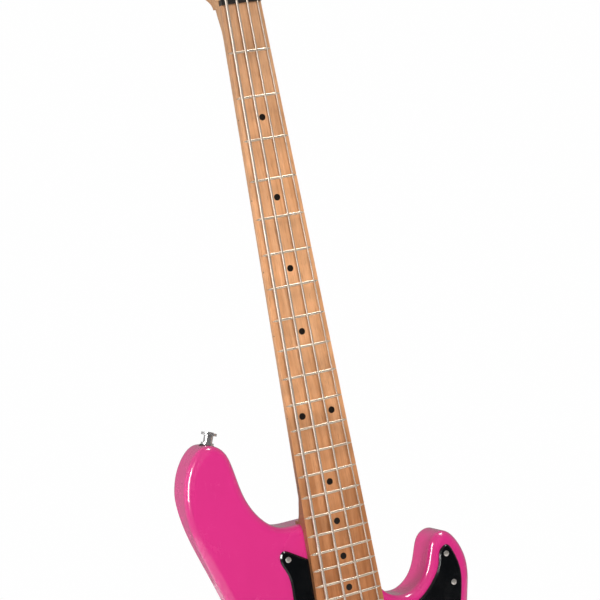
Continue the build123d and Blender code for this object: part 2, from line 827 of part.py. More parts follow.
# ---- pickup ----
def pickup_cover(side):
    x, z = pickup_pocket(side)
    top = front - pickup_proud
    outer = slab(Pos(x, z) * RectangleRounded(pickup_length, pickup_width, 3.2), front + 4, top)
    rim = outer.edges().filter_by_position(Axis.Y, top - 0.01, top + 0.01)
    outer = fillet(rim, 1.2)
    inner_length = pickup_length - 2 * pickup_wall
    inner_width = pickup_width - 2 * pickup_wall
    hollow = Pos(x, z) * RectangleRounded(inner_length, inner_width, 2)
    inner = slab(hollow, front + 5, top + pickup_wall)
    shell = outer - inner
    for px, pz in pole_places(side):
        shell = shell - rod_y(px, pz, top - 1, top + 3, pole_radius + running)
    for end in (-1, 1):
        hole_x = x + end * (pickup_length / 2 - 4.2)
        shell = shell + rod_y(hole_x, z, front + 4, top + pickup_wall - 0.2, 2.8)
        shell = shell - rod_y(hole_x, z, front + 5, top - 1, pickup_screw_radius + 0.2)
    return shell


def pole_places(side):
    x, z = pickup_pocket(side)
    places = []
    for index in ((0, 1) if side < 0 else (2, 3)):
        lane = string_x(index, z)
        places.append((lane - 4.2, z))
        places.append((lane + 4.2, z))
    return places


def pickup_coil(side):
    # Flat bobbin with its winding, sitting under the cover.
    x, z = pickup_pocket(side)
    top = front - pickup_proud + pickup_wall + 0.3
    bottom = front + 6
    cheeks = []
    for y in (top, bottom - 1.5):
        cheek = slab(Pos(x, z) * RectangleRounded(41, 20, 4), y + 1.5, y)
        cheeks.append(cheek)
    core = slab(Pos(x, z) * SlotOverall(39, 16), bottom, top)
    coil = join([core] + cheeks)
    for px, pz in pole_places(side):
        coil = coil - rod_y(px, pz, top - 1, bottom + 1, pole_radius)
    return coil


def pickup_poles(side):
    tip = front - pickup_proud - 0.6
    return [rod_y(x, z, tip, front + 6, pole_radius) for x, z in pole_places(side)]


def pickup_screws(side):
    x, z = pickup_pocket(side)
    solids = []
    for end in (-1, 1):
        place = x + end * (pickup_length / 2 - 4.2)
        top = front - pickup_proud
        head = rod_y(place, z, top, top - 1.4, 2.4)
        head = fillet(head.edges().filter_by_position(Axis.Y, top - 1.5, top - 1.3), 0.9)
        recess = Pos(place, top - 1.3, z) * (Box(3, 1.2, 0.6) + Box(0.6, 1.2, 3))
        solids.append(head + rod_y(place, z, top, front + 19, pickup_screw_radius) - recess)
    return solids


def pickup_foam(side):
    x, z = pickup_pocket(side)
    return slab(Pos(x, z) * Rectangle(42, 20), front + 20, front + 6)


# ---- controls ----
def potentiometer(place):
    bottom = front + pot_height
    can = rod_y(*place, bottom, front, pot_radius)
    can = fillet(can.edges().filter_by_position(Axis.Y, bottom - 0.1, bottom + 0.1), 1)
    neck_part = rod_y(*place, front, guard_front - 5, pot_bushing)
    bore = rod_y(*place, front + 6, guard_front - 6, pot_shaft + running)
    x, z = place
    lugs = box(x - 8, x + 8, front + 2, front + 3, z - 17, z - 9)
    return can + neck_part + lugs - bore


def pot_nut(place):
    x, z = place
    washer = rod_y(x, z, guard_front, guard_front - 0.8, 7.5)
    nut = slab(Pos(x, z) * RegularPolygon(6.6, 6), guard_front - 0.8, guard_front - 3.2)
    return washer + nut - rod_y(x, z, guard_front + 1, guard_front - 5, pot_bushing)


def knob(place):
    # Knob with its potentiometer shaft, turning as one.
    base = guard_front - 5 - moving_gap
    top = base - knob_height + 4
    body = rod_y(*place, base, top, knob_radius)
    body = fillet(body.edges().filter_by_position(Axis.Y, top - 0.01, top + 0.01), 1.6)
    flutes = 24
    for step in range(flutes):
        angle = 2 * pi * step / flutes
        x = place[0] + (knob_radius + 0.35) * cos(angle)
        z = place[1] + (knob_radius + 0.35) * sin(angle)
        body = body - rod_y(x, z, base + 1, top + 2.5, 0.8)
    pointer = box(place[0] - 0.4, place[0] + 0.4, top - 1, top + 0.4, place[1], place[1] + knob_radius)
    shaft = rod_y(*place, front + 5.5, base, pot_shaft)
    return body - pointer + shaft


def output_jack():
    sleeve = rod_y(*jack_place, front + jack_length, guard_front - 4, jack_sleeve)
    flange = rod_y(*jack_place, front + jack_flange, front, 8)
    bore = rod_y(*jack_place, front + jack_length + 1, guard_front - 6, jack_bore)
    return sleeve + flange - bore


def jack_contact():
    x, z = jack_place
    return box(x - 2, x + 2, front + jack_length, front + jack_length + 0.8, z - 9, z + 9)


def jack_nut():
    nut = slab(Pos(*jack_place) * RegularPolygon(7, 6), guard_front - 0.8, guard_front - 3)
    washer = rod_y(*jack_place, guard_front, guard_front - 0.8, 8.2)
    return washer + nut - rod_y(*jack_place, guard_front + 1, guard_front - 5, jack_sleeve)


def capacitor():
    x, z = tone_place
    return Pos(x - 13, front + 16, z + 6) * Cylinder(4, 12)


def wire_run(*points):
    path = FilletPolyline(*points, radius=2.5)
    return sweep(Plane(path @ 0, z_dir=path % 0) * Circle(wire_radius), path=path)


def wiring():
    # Pickup lead to the volume lug, volume to tone, and tone to the jack, with the tone capacitor.
    vx, vz = volume_place
    tx, tz = tone_place
    jx, jz = jack_place
    lug = front + 3
    deep = front + 14
    under_jack = front + jack_length + 1.5
    lead = wire_run((42.5, front + 12, saddle_z + 98), (43.5, front + 12, saddle_z + 82.5),
                    (70, deep, saddle_z + 56), (vx - 4, deep, vz - 14), (vx - 4, lug, vz - 14))
    link = wire_run((vx + 4, lug, vz - 15), (vx + 4, deep, vz - 15),
                    (tx - 4, deep, tz - 14), (tx - 4, lug, tz - 14))
    output = wire_run((tx + 4, lug, tz - 14), (tx + 4, under_jack, tz - 14), (jx, under_jack, jz + 7))
    return [lead, link, output, capacitor()]


# ---- strap buttons ----
def strap_button(place):
    foot = at_button(place, washer_thickness, washer_thickness + 2, 5.8)
    waist = at_button(place, washer_thickness, button_height - 2, button_waist)
    rim = at_button(place, button_height - 2.4, button_height, button_radius)
    button = foot + waist + rim
    button = button - at_button(place, washer_thickness - 1, button_height + 1, button_screw_radius)
    return button - at_button(place, button_height - 1.6, button_height + 1, 4.1)


def strap_screw(place):
    head = at_button(place, button_height - 1.6, button_height + 0.6, 4.0)
    recess = Box(4.4, 0.8, 2) + Box(0.8, 4.4, 2)
    x, z, dx, dz = place
    tip = button_height + 0.6
    turn = degrees(atan2(dx, dz))
    recess = Pos(x + dx * tip, 0, z + dz * tip) * Rot(0, turn, 0) * recess
    return head + at_button(place, -25, button_height - 1.6, button_screw_radius) - recess


def strap_washer(place):
    disc = at_button(place, 0, washer_thickness, 6.6)
    return disc - at_button(place, -1, washer_thickness + 1, button_screw_radius + loose)


def neck_plate():
    flat = Pos(0, plate_z) * RectangleRounded(2 * plate_half_width, 2 * plate_half_height, 5)
    plate = slab(flat, back + neck_plate_thickness, back)
    outside = plate.edges().filter_by_position(Axis.Y, back + neck_plate_thickness - 0.01, back + 3)
    plate = fillet(outside, 0.6)
    for x, z in neck_screw_places():
        plate = plate - rod_y(x, z, back - 1, back + 4, neck_screw_radius + 0.1)
    return plate


def neck_screw(x, z):
    seat = back + neck_plate_thickness
    head = rod_y(x, z, seat, seat + 2.2, 4.4)
    head = fillet(head.edges().filter_by_position(Axis.Y, seat + 2.1, seat + 2.3), 1.5)
    recess = Pos(x, seat + 1.9, z) * (Box(5, 2, 0.9) + Box(0.9, 2, 5))
    return head + rod_y(x, z, pocket_floor - neck_bite, seat, neck_screw_radius) - recess


def truss_rod():
    return rod_z(0, rod_y_level, board_end + 4, nut_z - neck_rod_stop, rod_radius)


def truss_rod_nut():
    nut = rod_z(0, rod_y_level, board_end + 1, board_end + 11, rod_nut_radius)
    nut = nut - rod_z(0, rod_y_level, board_end + 3.6, board_end + 12, rod_radius + running)
    slots = Pos(0, rod_y_level, board_end + 1) * (Box(9, 1, 3) + Box(1, 9, 3))
    return nut - slots


parts["body"] = body_shape()
parts["neck"] = neck()
parts["fingerboard"] = fingerboard()
parts["truss_rod"] = truss_rod()
parts["truss_rod_nut"] = truss_rod_nut()
parts["nut"] = nut_piece()
parts["frets"] = [fret(number) for number in range(1, fret_count + 1)]
parts["fingerboard_dots"] = [rod_y(x, z, crown + dot_depth, crown, dot_radius) for x, z in dot_places()]
parts["side_dots"] = [side_dot(z) for z in side_dot_places()]
parts["string_retainer"] = retainer()
parts["retainer_screw"] = screw(
    *retainer_place, face - retainer_stand - retainer_cap, retainer_head, guard_screw_radius, 16, 0.6)
parts["neck_plate"] = neck_plate()
parts["neck_screws"] = [neck_screw(x, z) for x, z in neck_screw_places()]
parts["pickguard"] = pickguard()
parts["pickguard_screws"] = [
    screw(x, z, guard_front, guard_screw_head, guard_screw_radius, 9.5, 0.5) for x, z in guard_screw_places()]
parts["pickup_covers"] = [pickup_cover(side) for side in (-1, 1)]
parts["pickup_coils"] = [pickup_coil(side) for side in (-1, 1)]
parts["pickup_pole_pieces"] = [pole for side in (-1, 1) for pole in pickup_poles(side)]
parts["pickup_screws"] = [one for side in (-1, 1) for one in pickup_screws(side)]
parts["pickup_foam"] = [pickup_foam(side) for side in (-1, 1)]
parts["bridge_plate"] = bridge_plate()
parts["bridge_screws"] = [bridge_screw(x, z) for x, z in bridge_screw_places()]
parts["tuner_plates"] = [tuner_plate(index) for index in range(4)]
parts["tuner_screws"] = tuner_screws()
parts["tuner_bushings"] = [tuner_bushing(index) for index in range(4)]
parts["string_balls"] = [string_ball(index) for index in range(4)]
for index in range(4):
    number = str(index + 1)
    parts["saddle_" + number] = saddle(index)
    parts["intonation_screw_" + number] = intonation_screw(index)
    parts["intonation_spring_" + number] = intonation_spring(index)
    parts["tuner_key_" + number] = tuner_key(index)
    parts["tuner_post_" + number] = tuner_post(index)
    parts["string_" + string_names[index]] = [string_run(index), string_winding(index)]
parts["volume_knob"] = knob(volume_place)
parts["tone_knob"] = knob(tone_place)
parts["potentiometers"] = [potentiometer(volume_place), potentiometer(tone_place)]
parts["pot_nuts"] = [pot_nut(volume_place), pot_nut(tone_place)]
parts["output_jack"] = [output_jack(), jack_contact()]
parts["jack_nut"] = jack_nut()
parts["wiring"] = wiring()
parts["strap_buttons"] = [strap_button(place) for place in button_places()]
parts["strap_screws"] = [strap_screw(place) for place in button_places()]
parts["strap_washers"] = [strap_washer(place) for place in button_places()]

os.makedirs("parts", exist_ok=True)
for name, shape in parts.items():
    solids = shape if isinstance(shape, list) else [shape]
    export_step(Compound(children=solids) if len(solids) > 1 else solids[0], "parts/" + name + ".step")
    print(name, len(solids), round(sum(solid.volume for solid in solids), 1))
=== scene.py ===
from math import pi, radians

import bmesh
import bpy
from mathutils import Matrix, Vector


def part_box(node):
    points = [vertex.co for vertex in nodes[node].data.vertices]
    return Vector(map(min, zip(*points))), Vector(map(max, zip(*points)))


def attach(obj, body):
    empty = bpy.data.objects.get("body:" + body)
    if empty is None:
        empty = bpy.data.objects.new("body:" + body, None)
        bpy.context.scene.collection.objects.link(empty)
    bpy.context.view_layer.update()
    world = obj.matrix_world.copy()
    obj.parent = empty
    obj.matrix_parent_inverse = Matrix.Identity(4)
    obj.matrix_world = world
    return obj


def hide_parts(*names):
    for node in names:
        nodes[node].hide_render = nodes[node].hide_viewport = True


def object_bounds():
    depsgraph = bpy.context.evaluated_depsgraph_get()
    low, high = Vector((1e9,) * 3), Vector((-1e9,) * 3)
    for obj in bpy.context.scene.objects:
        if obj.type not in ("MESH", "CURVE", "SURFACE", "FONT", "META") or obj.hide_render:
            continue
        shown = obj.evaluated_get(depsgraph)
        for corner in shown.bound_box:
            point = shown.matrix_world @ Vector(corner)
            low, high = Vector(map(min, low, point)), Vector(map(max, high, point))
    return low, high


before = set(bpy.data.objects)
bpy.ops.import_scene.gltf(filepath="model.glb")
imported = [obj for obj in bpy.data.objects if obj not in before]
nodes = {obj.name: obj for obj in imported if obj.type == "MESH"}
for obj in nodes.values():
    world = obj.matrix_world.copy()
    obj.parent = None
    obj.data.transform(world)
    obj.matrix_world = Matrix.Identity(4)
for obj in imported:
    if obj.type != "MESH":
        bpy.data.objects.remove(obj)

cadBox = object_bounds()
scene = bpy.context.scene

mm = 0.001


# node helpers: every tree below is built with these
def addNode(tree, kind, **settings):
    made = tree.nodes.new(kind)
    for name, value in settings.items():
        setattr(made, name, value)
    return made


def feed(tree, value, socket):
    # a socket takes either another node's output or a plain value
    if isinstance(value, bpy.types.NodeSocket):
        tree.links.new(value, socket)
    else:
        socket.default_value = value


def mathStep(tree, operation, *values):
    step = addNode(tree, "ShaderNodeMath", operation=operation)
    for place, value in enumerate(values):
        feed(tree, value, step.inputs[place])
    return step.outputs[0]


def addShare(tree, base, extra, share):
    # base plus a share of extra
    return mathStep(tree, "ADD", base, mathStep(tree, "MULTIPLY", extra, share))


def sizeScale(tree, size):
    # noise scale that makes its patches about size millimetres across
    return mathStep(tree, "DIVIDE", 1 / mm, size)


def vectorStep(tree, operation, *values):
    step = addNode(tree, "ShaderNodeVectorMath", operation=operation)
    for place, value in enumerate(values):
        feed(tree, value, step.inputs[place])
    return step.outputs["Value"] if operation == "DOT_PRODUCT" else step.outputs[0]


def spread(tree, value, low, high, to=(0.0, 1.0), smooth=False):
    # remaps low..high onto to[0]..to[1], clamped
    step = addNode(tree, "ShaderNodeMapRange",
                   interpolation_type="SMOOTHSTEP" if smooth else "LINEAR")
    for place, number in enumerate((value, low, high, *to)):
        feed(tree, number, step.inputs[place])
    return step.outputs[0]


def noise(tree, vector, scale, detail=3.0, roughness=0.5, distortion=0.0):
    step = addNode(tree, "ShaderNodeTexNoise")
    feed(tree, vector, step.inputs["Vector"])
    feed(tree, scale, step.inputs["Scale"])
    feed(tree, detail, step.inputs["Detail"])
    feed(tree, roughness, step.inputs["Roughness"])
    feed(tree, distortion, step.inputs["Distortion"])
    return step.outputs[0]


def placed(tree, vector, scale=(1, 1, 1), turn=(0, 0, 0), shift=(0, 0, 0)):
    step = addNode(tree, "ShaderNodeMapping")
    feed(tree, vector, step.inputs["Vector"])
    feed(tree, shift, step.inputs["Location"])
    feed(tree, turn, step.inputs["Rotation"])
    feed(tree, scale, step.inputs["Scale"])
    return step.outputs[0]


def mixColour(tree, factor, first, second, blend="MIX"):
    step = addNode(tree, "ShaderNodeMix", data_type="RGBA", blend_type=blend)
    feed(tree, factor, step.inputs[0])
    feed(tree, first, step.inputs[6])
    feed(tree, second, step.inputs[7])
    return step.outputs[2]


def objectPlace(tree):
    return addNode(tree, "ShaderNodeTexCoord").outputs["Object"]


def newGroup(name, inputs, outputs, kind="ShaderNodeTree"):
    tree = bpy.data.node_groups.new(name, kind)
    for label, socketKind, start in inputs:
        socket = tree.interface.new_socket(name=label, in_out="INPUT", socket_type=socketKind)
        if start is not None:
            socket.default_value = start
    for label, socketKind in outputs:
        tree.interface.new_socket(name=label, in_out="OUTPUT", socket_type=socketKind)
    return tree, addNode(tree, "NodeGroupInput").outputs, addNode(tree, "NodeGroupOutput").inputs


def useGroup(tree, group, **values):
    made = addNode(tree, "ShaderNodeGroup", node_tree=group)
    for label, value in values.items():
        feed(tree, value, made.inputs[label])
    return made.outputs


number, colour = "NodeSocketFloat", "NodeSocketColor"


# shader groups shared by the finishes
def makeWoodGrain():
    # long growth streaks up the neck, fine fibres and short dark pores
    tree, given, out = newGroup(
        "woodGrain",
        [("streakSize", number, 5.0), ("fibreSize", number, 0.7), ("poreAmount", number, 0.3),
         ("sway", number, 1.0)],
        [("streaks", number), ("fibres", number), ("pores", number), ("height", number)])
    place = objectPlace(tree)
    wander = noise(tree, placed(tree, place, scale=(9, 9, 3.2)), 1.0, 2.0)
    shift = mathStep(tree, "MULTIPLY", mathStep(tree, "SUBTRACT", wander, 0.5), given["sway"])
    shift = mathStep(tree, "MULTIPLY", shift, 0.02)
    bend = addNode(tree, "ShaderNodeCombineXYZ")
    feed(tree, shift, bend.inputs[0])
    bent = vectorStep(tree, "ADD", place, bend.outputs[0])
    streakScale = sizeScale(tree, given["streakSize"])
    fibreScale = sizeScale(tree, given["fibreSize"])
    streaks = noise(tree, placed(tree, bent, scale=(1, 0.45, 0.035)), streakScale, 4.0, 0.55)
    fibres = noise(tree, placed(tree, bent, scale=(1, 0.8, 0.016)), fibreScale, 2.0, 0.6)
    dashes = noise(tree, placed(tree, bent, scale=(1, 1, 0.05), shift=(3, 0, 0)), fibreScale, 1.0, 0.5)
    pores = mathStep(tree, "MULTIPLY", spread(tree, dashes, 0.62, 0.72), given["poreAmount"])
    feed(tree, spread(tree, streaks, 0.3, 0.7), out["streaks"])
    feed(tree, fibres, out["fibres"])
    feed(tree, pores, out["pores"])
    feed(tree, mathStep(tree, "SUBTRACT", mathStep(tree, "MULTIPLY", fibres, 0.5), pores), out["height"])
    return tree


def makeHandlingMarks():
    # hairline scratches in two directions with soft smears between them
    tree, given, out = newGroup(
        "handlingMarks",
        [("hairSize", number, 0.6), ("hairAmount", number, 0.5), ("smearSize", number, 30.0)],
        [("hairs", number), ("smears", number)])
    place = objectPlace(tree)
    scale = sizeScale(tree, given["hairSize"])
    first = noise(tree, placed(tree, place, scale=(1, 1, 0.04), turn=(0.3, 0.9, 0.2)), scale, 2.0)
    crossed = placed(tree, place, scale=(0.05, 1, 1), turn=(0.1, -0.5, 0.6), shift=(5, 2, 0))
    second = noise(tree, crossed, scale, 2.0)
    hairs = mathStep(tree, "MAXIMUM", spread(tree, first, 0.68, 0.74), spread(tree, second, 0.69, 0.75))
    feed(tree, mathStep(tree, "MULTIPLY", hairs, given["hairAmount"]), out["hairs"])
    smears = noise(tree, place, sizeScale(tree, given["smearSize"]), 4.0, 0.6, 0.4)
    feed(tree, smears, out["smears"])
    return tree


def makeEdgeWear():
    # rubbed edges, found by comparing the face's normal with a rounded-over one
    tree, given, out = newGroup(
        "edgeWear",
        [("width", number, 0.4), ("breakUp", number, 0.5)],
        [("mask", number)])
    rounded = addNode(tree, "ShaderNodeBevel", samples=4)
    feed(tree, mathStep(tree, "MULTIPLY", given["width"], mm), rounded.inputs["Radius"])
    plain = addNode(tree, "ShaderNodeNewGeometry").outputs["Normal"]
    match = vectorStep(tree, "DOT_PRODUCT", rounded.outputs[0], plain)
    edge = spread(tree, match, 0.995, 0.88)
    patches = noise(tree, objectPlace(tree), 260.0, 3.0, 0.6)
    whole = mathStep(tree, "SUBTRACT", 1.0, given["breakUp"])
    kept = mathStep(tree, "ADD", whole, spread(tree, patches, 0.4, 0.6))
    feed(tree, mathStep(tree, "MULTIPLY", edge, mathStep(tree, "MINIMUM", kept, 1.0)), out["mask"])
    return tree


def makeDustFilm():
    # thin dust, thicker on what faces up
    tree, given, out = newGroup(
        "dustFilm", [("amount", number, 0.2), ("grainSize", number, 0.5)], [("mask", number)])
    up = addNode(tree, "ShaderNodeSeparateXYZ")
    feed(tree, addNode(tree, "ShaderNodeNewGeometry").outputs["Normal"], up.inputs[0])
    settled = spread(tree, up.outputs[2], -0.2, 0.9, (0.15, 1.0))
    place = objectPlace(tree)
    grains = noise(tree, place, sizeScale(tree, given["grainSize"]), 2.0)
    specks = spread(tree, grains, 0.55, 0.7)
    clouds = spread(tree, noise(tree, place, 22.0, 3.0), 0.35, 0.7)
    film = mathStep(tree, "MULTIPLY", mathStep(tree, "MULTIPLY", settled, given["amount"]), clouds)
    feed(tree, mathStep(tree, "MULTIPLY", film, mathStep(tree, "ADD", 0.4, specks)), out["mask"])
    return tree


def makeToneDrift():
    # slow lighter and darker areas over one colour
    tree, given, out = newGroup(
        "toneDrift",
        [("colour", colour, (0.5, 0.5, 0.5, 1)), ("patchSize", number, 40.0), ("amount", number, 0.1)],
        [("colour", colour)])
    drift = noise(tree, objectPlace(tree), sizeScale(tree, given["patchSize"]), 3.0)
    swing = mathStep(tree, "MULTIPLY", mathStep(tree, "SUBTRACT", drift, 0.5), given["amount"])
    gain = mathStep(tree, "ADD", 1.0, mathStep(tree, "MULTIPLY", swing, 2.0))
    bright = addNode(tree, "ShaderNodeCombineColor")
    for place in range(3):
        feed(tree, gain, bright.inputs[place])
    feed(tree, mixColour(tree, 1.0, given["colour"], bright.outputs[0], "MULTIPLY"), out["colour"])
    return tree


woodGrain = makeWoodGrain()
handlingMarks = makeHandlingMarks()
edgeWear = makeEdgeWear()
dustFilm = makeDustFilm()
toneDrift = makeToneDrift()
print("shader groups built")


# finishes
def startFinish(name):
    material = bpy.data.materials.new(name)
    material.use_nodes = True
    tree = material.node_tree
    tree.nodes.clear()
    shader = addNode(tree, "ShaderNodeBsdfPrincipled")
    output = addNode(tree, "ShaderNodeOutputMaterial")
    tree.links.new(shader.outputs[0], output.inputs["Surface"])
    return material, tree, shader


def bumpFrom(tree, shader, height, distance, strength=1.0, coat=False):
    bump = addNode(tree, "ShaderNodeBump")
    feed(tree, height, bump.inputs["Height"])
    bump.inputs["Distance"].default_value = distance * mm
    bump.inputs["Strength"].default_value = strength
    tree.links.new(bump.outputs[0], shader.inputs["Normal"])
    if coat:
        tree.links.new(bump.outputs[0], shader.inputs["Coat Normal"])


lacquerLook = {
    "pink": (0.735, 0.030, 0.245, 1),
    # painted shade: the darker pink laid on the lower body
    "shadedPink": (0.610, 0.020, 0.190, 1),
    "edgePink": (0.78, 0.040, 0.28, 1),
    "gloss": 0.24,
    "coatGloss": 0.045,
    "orangePeel": 0.005,   # mm
    "dust": 0.05,
    "dustColour": (0.75, 0.6, 0.62, 1),
    "hairs": 0.12,
    "shadedBelow": 0.05,     # heights in metres between which the painted shade at the bottom fades into plain pink
    "pinkAbove": 0.46,
}


def bodyLacquer(look):
    # clear-coated solid pink with painted shade that darkens it towards the bottom, and sprayed lacquer's
    # faint ripple
    material, tree, shader = startFinish("pinkGlossLacquer")
    place = objectPlace(tree)
    parts = addNode(tree, "ShaderNodeSeparateXYZ")
    feed(tree, place, parts.inputs[0])
    # painted shade: the pink turns darker towards the bottom of the body
    depth = spread(tree, parts.outputs[2], look["shadedBelow"], look["pinkAbove"], smooth=True)
    base = mixColour(tree, depth, look["shadedPink"], look["pink"])
    drift = useGroup(tree, toneDrift, colour=base, patchSize=90.0, amount=0.05)["colour"]
    worn = useGroup(tree, edgeWear, width=1.2, breakUp=0.2)["mask"]
    painted = mixColour(tree, mathStep(tree, "MULTIPLY", worn, 0.5), drift, look["edgePink"])
    dust = useGroup(tree, dustFilm, amount=look["dust"], grainSize=0.6)["mask"]
    feed(tree, mixColour(tree, mathStep(tree, "MULTIPLY", dust, 0.5), painted, look["dustColour"]),
         shader.inputs["Base Color"])
    marks = useGroup(tree, handlingMarks, hairSize=0.5, hairAmount=look["hairs"], smearSize=45.0)
    rough = addShare(tree, look["gloss"], marks["hairs"], 0.15)
    rough = mathStep(tree, "ADD", rough, spread(tree, marks["smears"], 0.45, 0.75, (0.0, 0.06)))
    feed(tree, mathStep(tree, "ADD", rough, dust), shader.inputs["Roughness"])
    shader.inputs["Coat Weight"].default_value = 1.0
    shader.inputs["Coat Roughness"].default_value = look["coatGloss"]
    shader.inputs["Coat IOR"].default_value = 1.5
    shader.inputs["IOR"].default_value = 1.45
    ripple = noise(tree, place, 420.0, 2.0, 0.4)
    sag = noise(tree, place, 38.0, 1.0, 0.4)
    height = mathStep(tree, "ADD", mathStep(tree, "MULTIPLY", ripple, 0.25), sag)
    bumpFrom(tree, shader, height, look["orangePeel"], coat=True)
    return material


neckWoodLook = {
    "pale": (0.720, 0.400, 0.195, 1),
    "warm": (0.560, 0.265, 0.110, 1),
    "dark": (0.270, 0.105, 0.040, 1),
    "satin": 0.38,
    "streakSize": 7.0,
    "fibreSize": 0.55,
    "figure": 0.22,
    "heelShade": (0.72, 0.60, 0.52, 1),   # painted shade: darkens the wood near the heel, against the middle of the neck
    "headShade": (0.86, 0.88, 0.92, 1),   # the same painted shade towards the nut
}
boardWoodLook = {
    "pale": (0.870, 0.475, 0.250, 1),
    "warm": (0.640, 0.305, 0.135, 1),
    "dark": (0.260, 0.100, 0.040, 1),
    "satin": 0.40,
    "streakSize": 4.0,
    "fibreSize": 0.5,
    "figure": 0.42,
    # painted shade near the heel and the nut, as on the neck
    "heelShade": (0.60, 0.46, 0.35, 1),
    "headShade": (0.70, 0.73, 0.78, 1),
}
woodShade = {"heelStart": 0.58, "heelFull": 0.30, "headStart": 0.66, "headFull": 0.84}   # heights in metres


def satinMaple(name, look):
    material, tree, shader = startFinish(name)
    grain = useGroup(tree, woodGrain, streakSize=look["streakSize"], fibreSize=look["fibreSize"],
                     poreAmount=0.45, sway=1.0)
    base = mixColour(tree, grain["streaks"], look["warm"], look["pale"])
    fibre = mixColour(tree, spread(tree, grain["fibres"], 0.35, 0.7, (0.0, 0.22)), base, look["dark"])
    pored = mixColour(tree, grain["pores"], fibre, look["dark"])
    rubbed = useGroup(tree, edgeWear, width=0.9, breakUp=0.3)["mask"]
    edged = mixColour(tree, mathStep(tree, "MULTIPLY", rubbed, 0.35), pored, look["pale"])
    drift = useGroup(tree, toneDrift, colour=edged, patchSize=22.0, amount=look["figure"])["colour"]
    # painted shade: the board is palest halfway up and darkens towards the heel and the nut
    parts = addNode(tree, "ShaderNodeSeparateXYZ")
    feed(tree, objectPlace(tree), parts.inputs[0])
    height = parts.outputs[2]
    towardsHeel = spread(tree, height, woodShade["heelStart"], woodShade["heelFull"], smooth=True)
    towardsHead = spread(tree, height, woodShade["headStart"], woodShade["headFull"], smooth=True)
    shaded = mixColour(tree, towardsHeel, drift, look["heelShade"], "MULTIPLY")
    feed(tree, mixColour(tree, towardsHead, shaded, look["headShade"], "MULTIPLY"),
         shader.inputs["Base Color"])
    marks = useGroup(tree, handlingMarks, hairSize=0.5, hairAmount=0.4, smearSize=28.0)
    rough = addShare(tree, look["satin"], marks["hairs"], 0.15)
    feed(tree, mathStep(tree, "ADD", rough, spread(tree, marks["smears"], 0.4, 0.7, (-0.05, 0.08))),
         shader.inputs["Roughness"])
    shader.inputs["Coat Weight"].default_value = 0.15
    shader.inputs["Coat Roughness"].default_value = 0.20
    bumpFrom(tree, shader, grain["height"], 0.03, 0.6)
    return material


# metals: colour, tarnish colour, roughness, scratches, wear, dust and ripple for each
metalGrime = {"dust": (0.42, 0.40, 0.38, 1), "rubbed": (0.86, 0.84, 0.80, 1)}
metalLooks = {
    "polishedChrome": {"colour": (0.80, 0.80, 0.81, 1), "tarnish": (0.45, 0.44, 0.43, 1), "rough": 0.13,
                       "hairs": 0.5, "wear": 0.25, "dust": 0.08, "ripple": 0.004, "metallic": 0.86},
    "nickelPlate": {"colour": (0.60, 0.58, 0.54, 1), "tarnish": (0.33, 0.30, 0.26, 1), "rough": 0.22,
                    "hairs": 0.6, "wear": 0.35, "dust": 0.18, "ripple": 0.006},
    "screwSteel": {"colour": (0.78, 0.74, 0.70, 1), "tarnish": (0.42, 0.38, 0.34, 1), "rough": 0.28,
                   "hairs": 0.6, "wear": 0.5, "dust": 0.10, "ripple": 0.006, "metallic": 0.88},
    "saddleSteel": {"colour": (0.58, 0.58, 0.58, 1), "tarnish": (0.30, 0.28, 0.25, 1), "rough": 0.20,
                    "hairs": 0.6, "wear": 0.4, "dust": 0.15, "ripple": 0.006},
    "fretNickel": {"colour": (0.86, 0.76, 0.62, 1), "tarnish": (0.55, 0.44, 0.33, 1), "rough": 0.26,
                   "hairs": 0.8, "wear": 0.3, "dust": 0.06, "ripple": 0.004, "metallic": 0.75},
    "paleBrass": {"colour": (0.72, 0.52, 0.24, 1), "tarnish": (0.35, 0.20, 0.09, 1), "rough": 0.28,
                  "hairs": 0.6, "wear": 0.4, "dust": 0.2, "ripple": 0.006},
}


def platedMetal(name, look):
    material, tree, shader = startFinish(name)
    place = objectPlace(tree)
    marks = useGroup(tree, handlingMarks, hairSize=0.3, hairAmount=look["hairs"], smearSize=12.0)
    cloud = spread(tree, marks["smears"], 0.42, 0.72, (0.0, 0.35))
    base = mixColour(tree, cloud, look["colour"], look["tarnish"])
    rubbed = useGroup(tree, edgeWear, width=0.25, breakUp=0.6)["mask"]
    worn = mathStep(tree, "MULTIPLY", rubbed, look["wear"])
    bright = mixColour(tree, worn, base, metalGrime["rubbed"])
    dust = useGroup(tree, dustFilm, amount=look["dust"], grainSize=0.4)["mask"]
    feed(tree, mixColour(tree, dust, bright, metalGrime["dust"]), shader.inputs["Base Color"])
    shader.inputs["Metallic"].default_value = look.get("metallic", 1.0)
    rough = addShare(tree, look["rough"], marks["hairs"], 0.18)
    rough = addShare(tree, rough, cloud, 0.3)
    feed(tree, mathStep(tree, "ADD", rough, dust), shader.inputs["Roughness"])
    wave = noise(tree, place, 160.0, 3.0, 0.5)
    height = mathStep(tree, "SUBTRACT", wave, mathStep(tree, "MULTIPLY", marks["hairs"], 0.4))
    bumpFrom(tree, shader, height, look["ripple"])
    return material


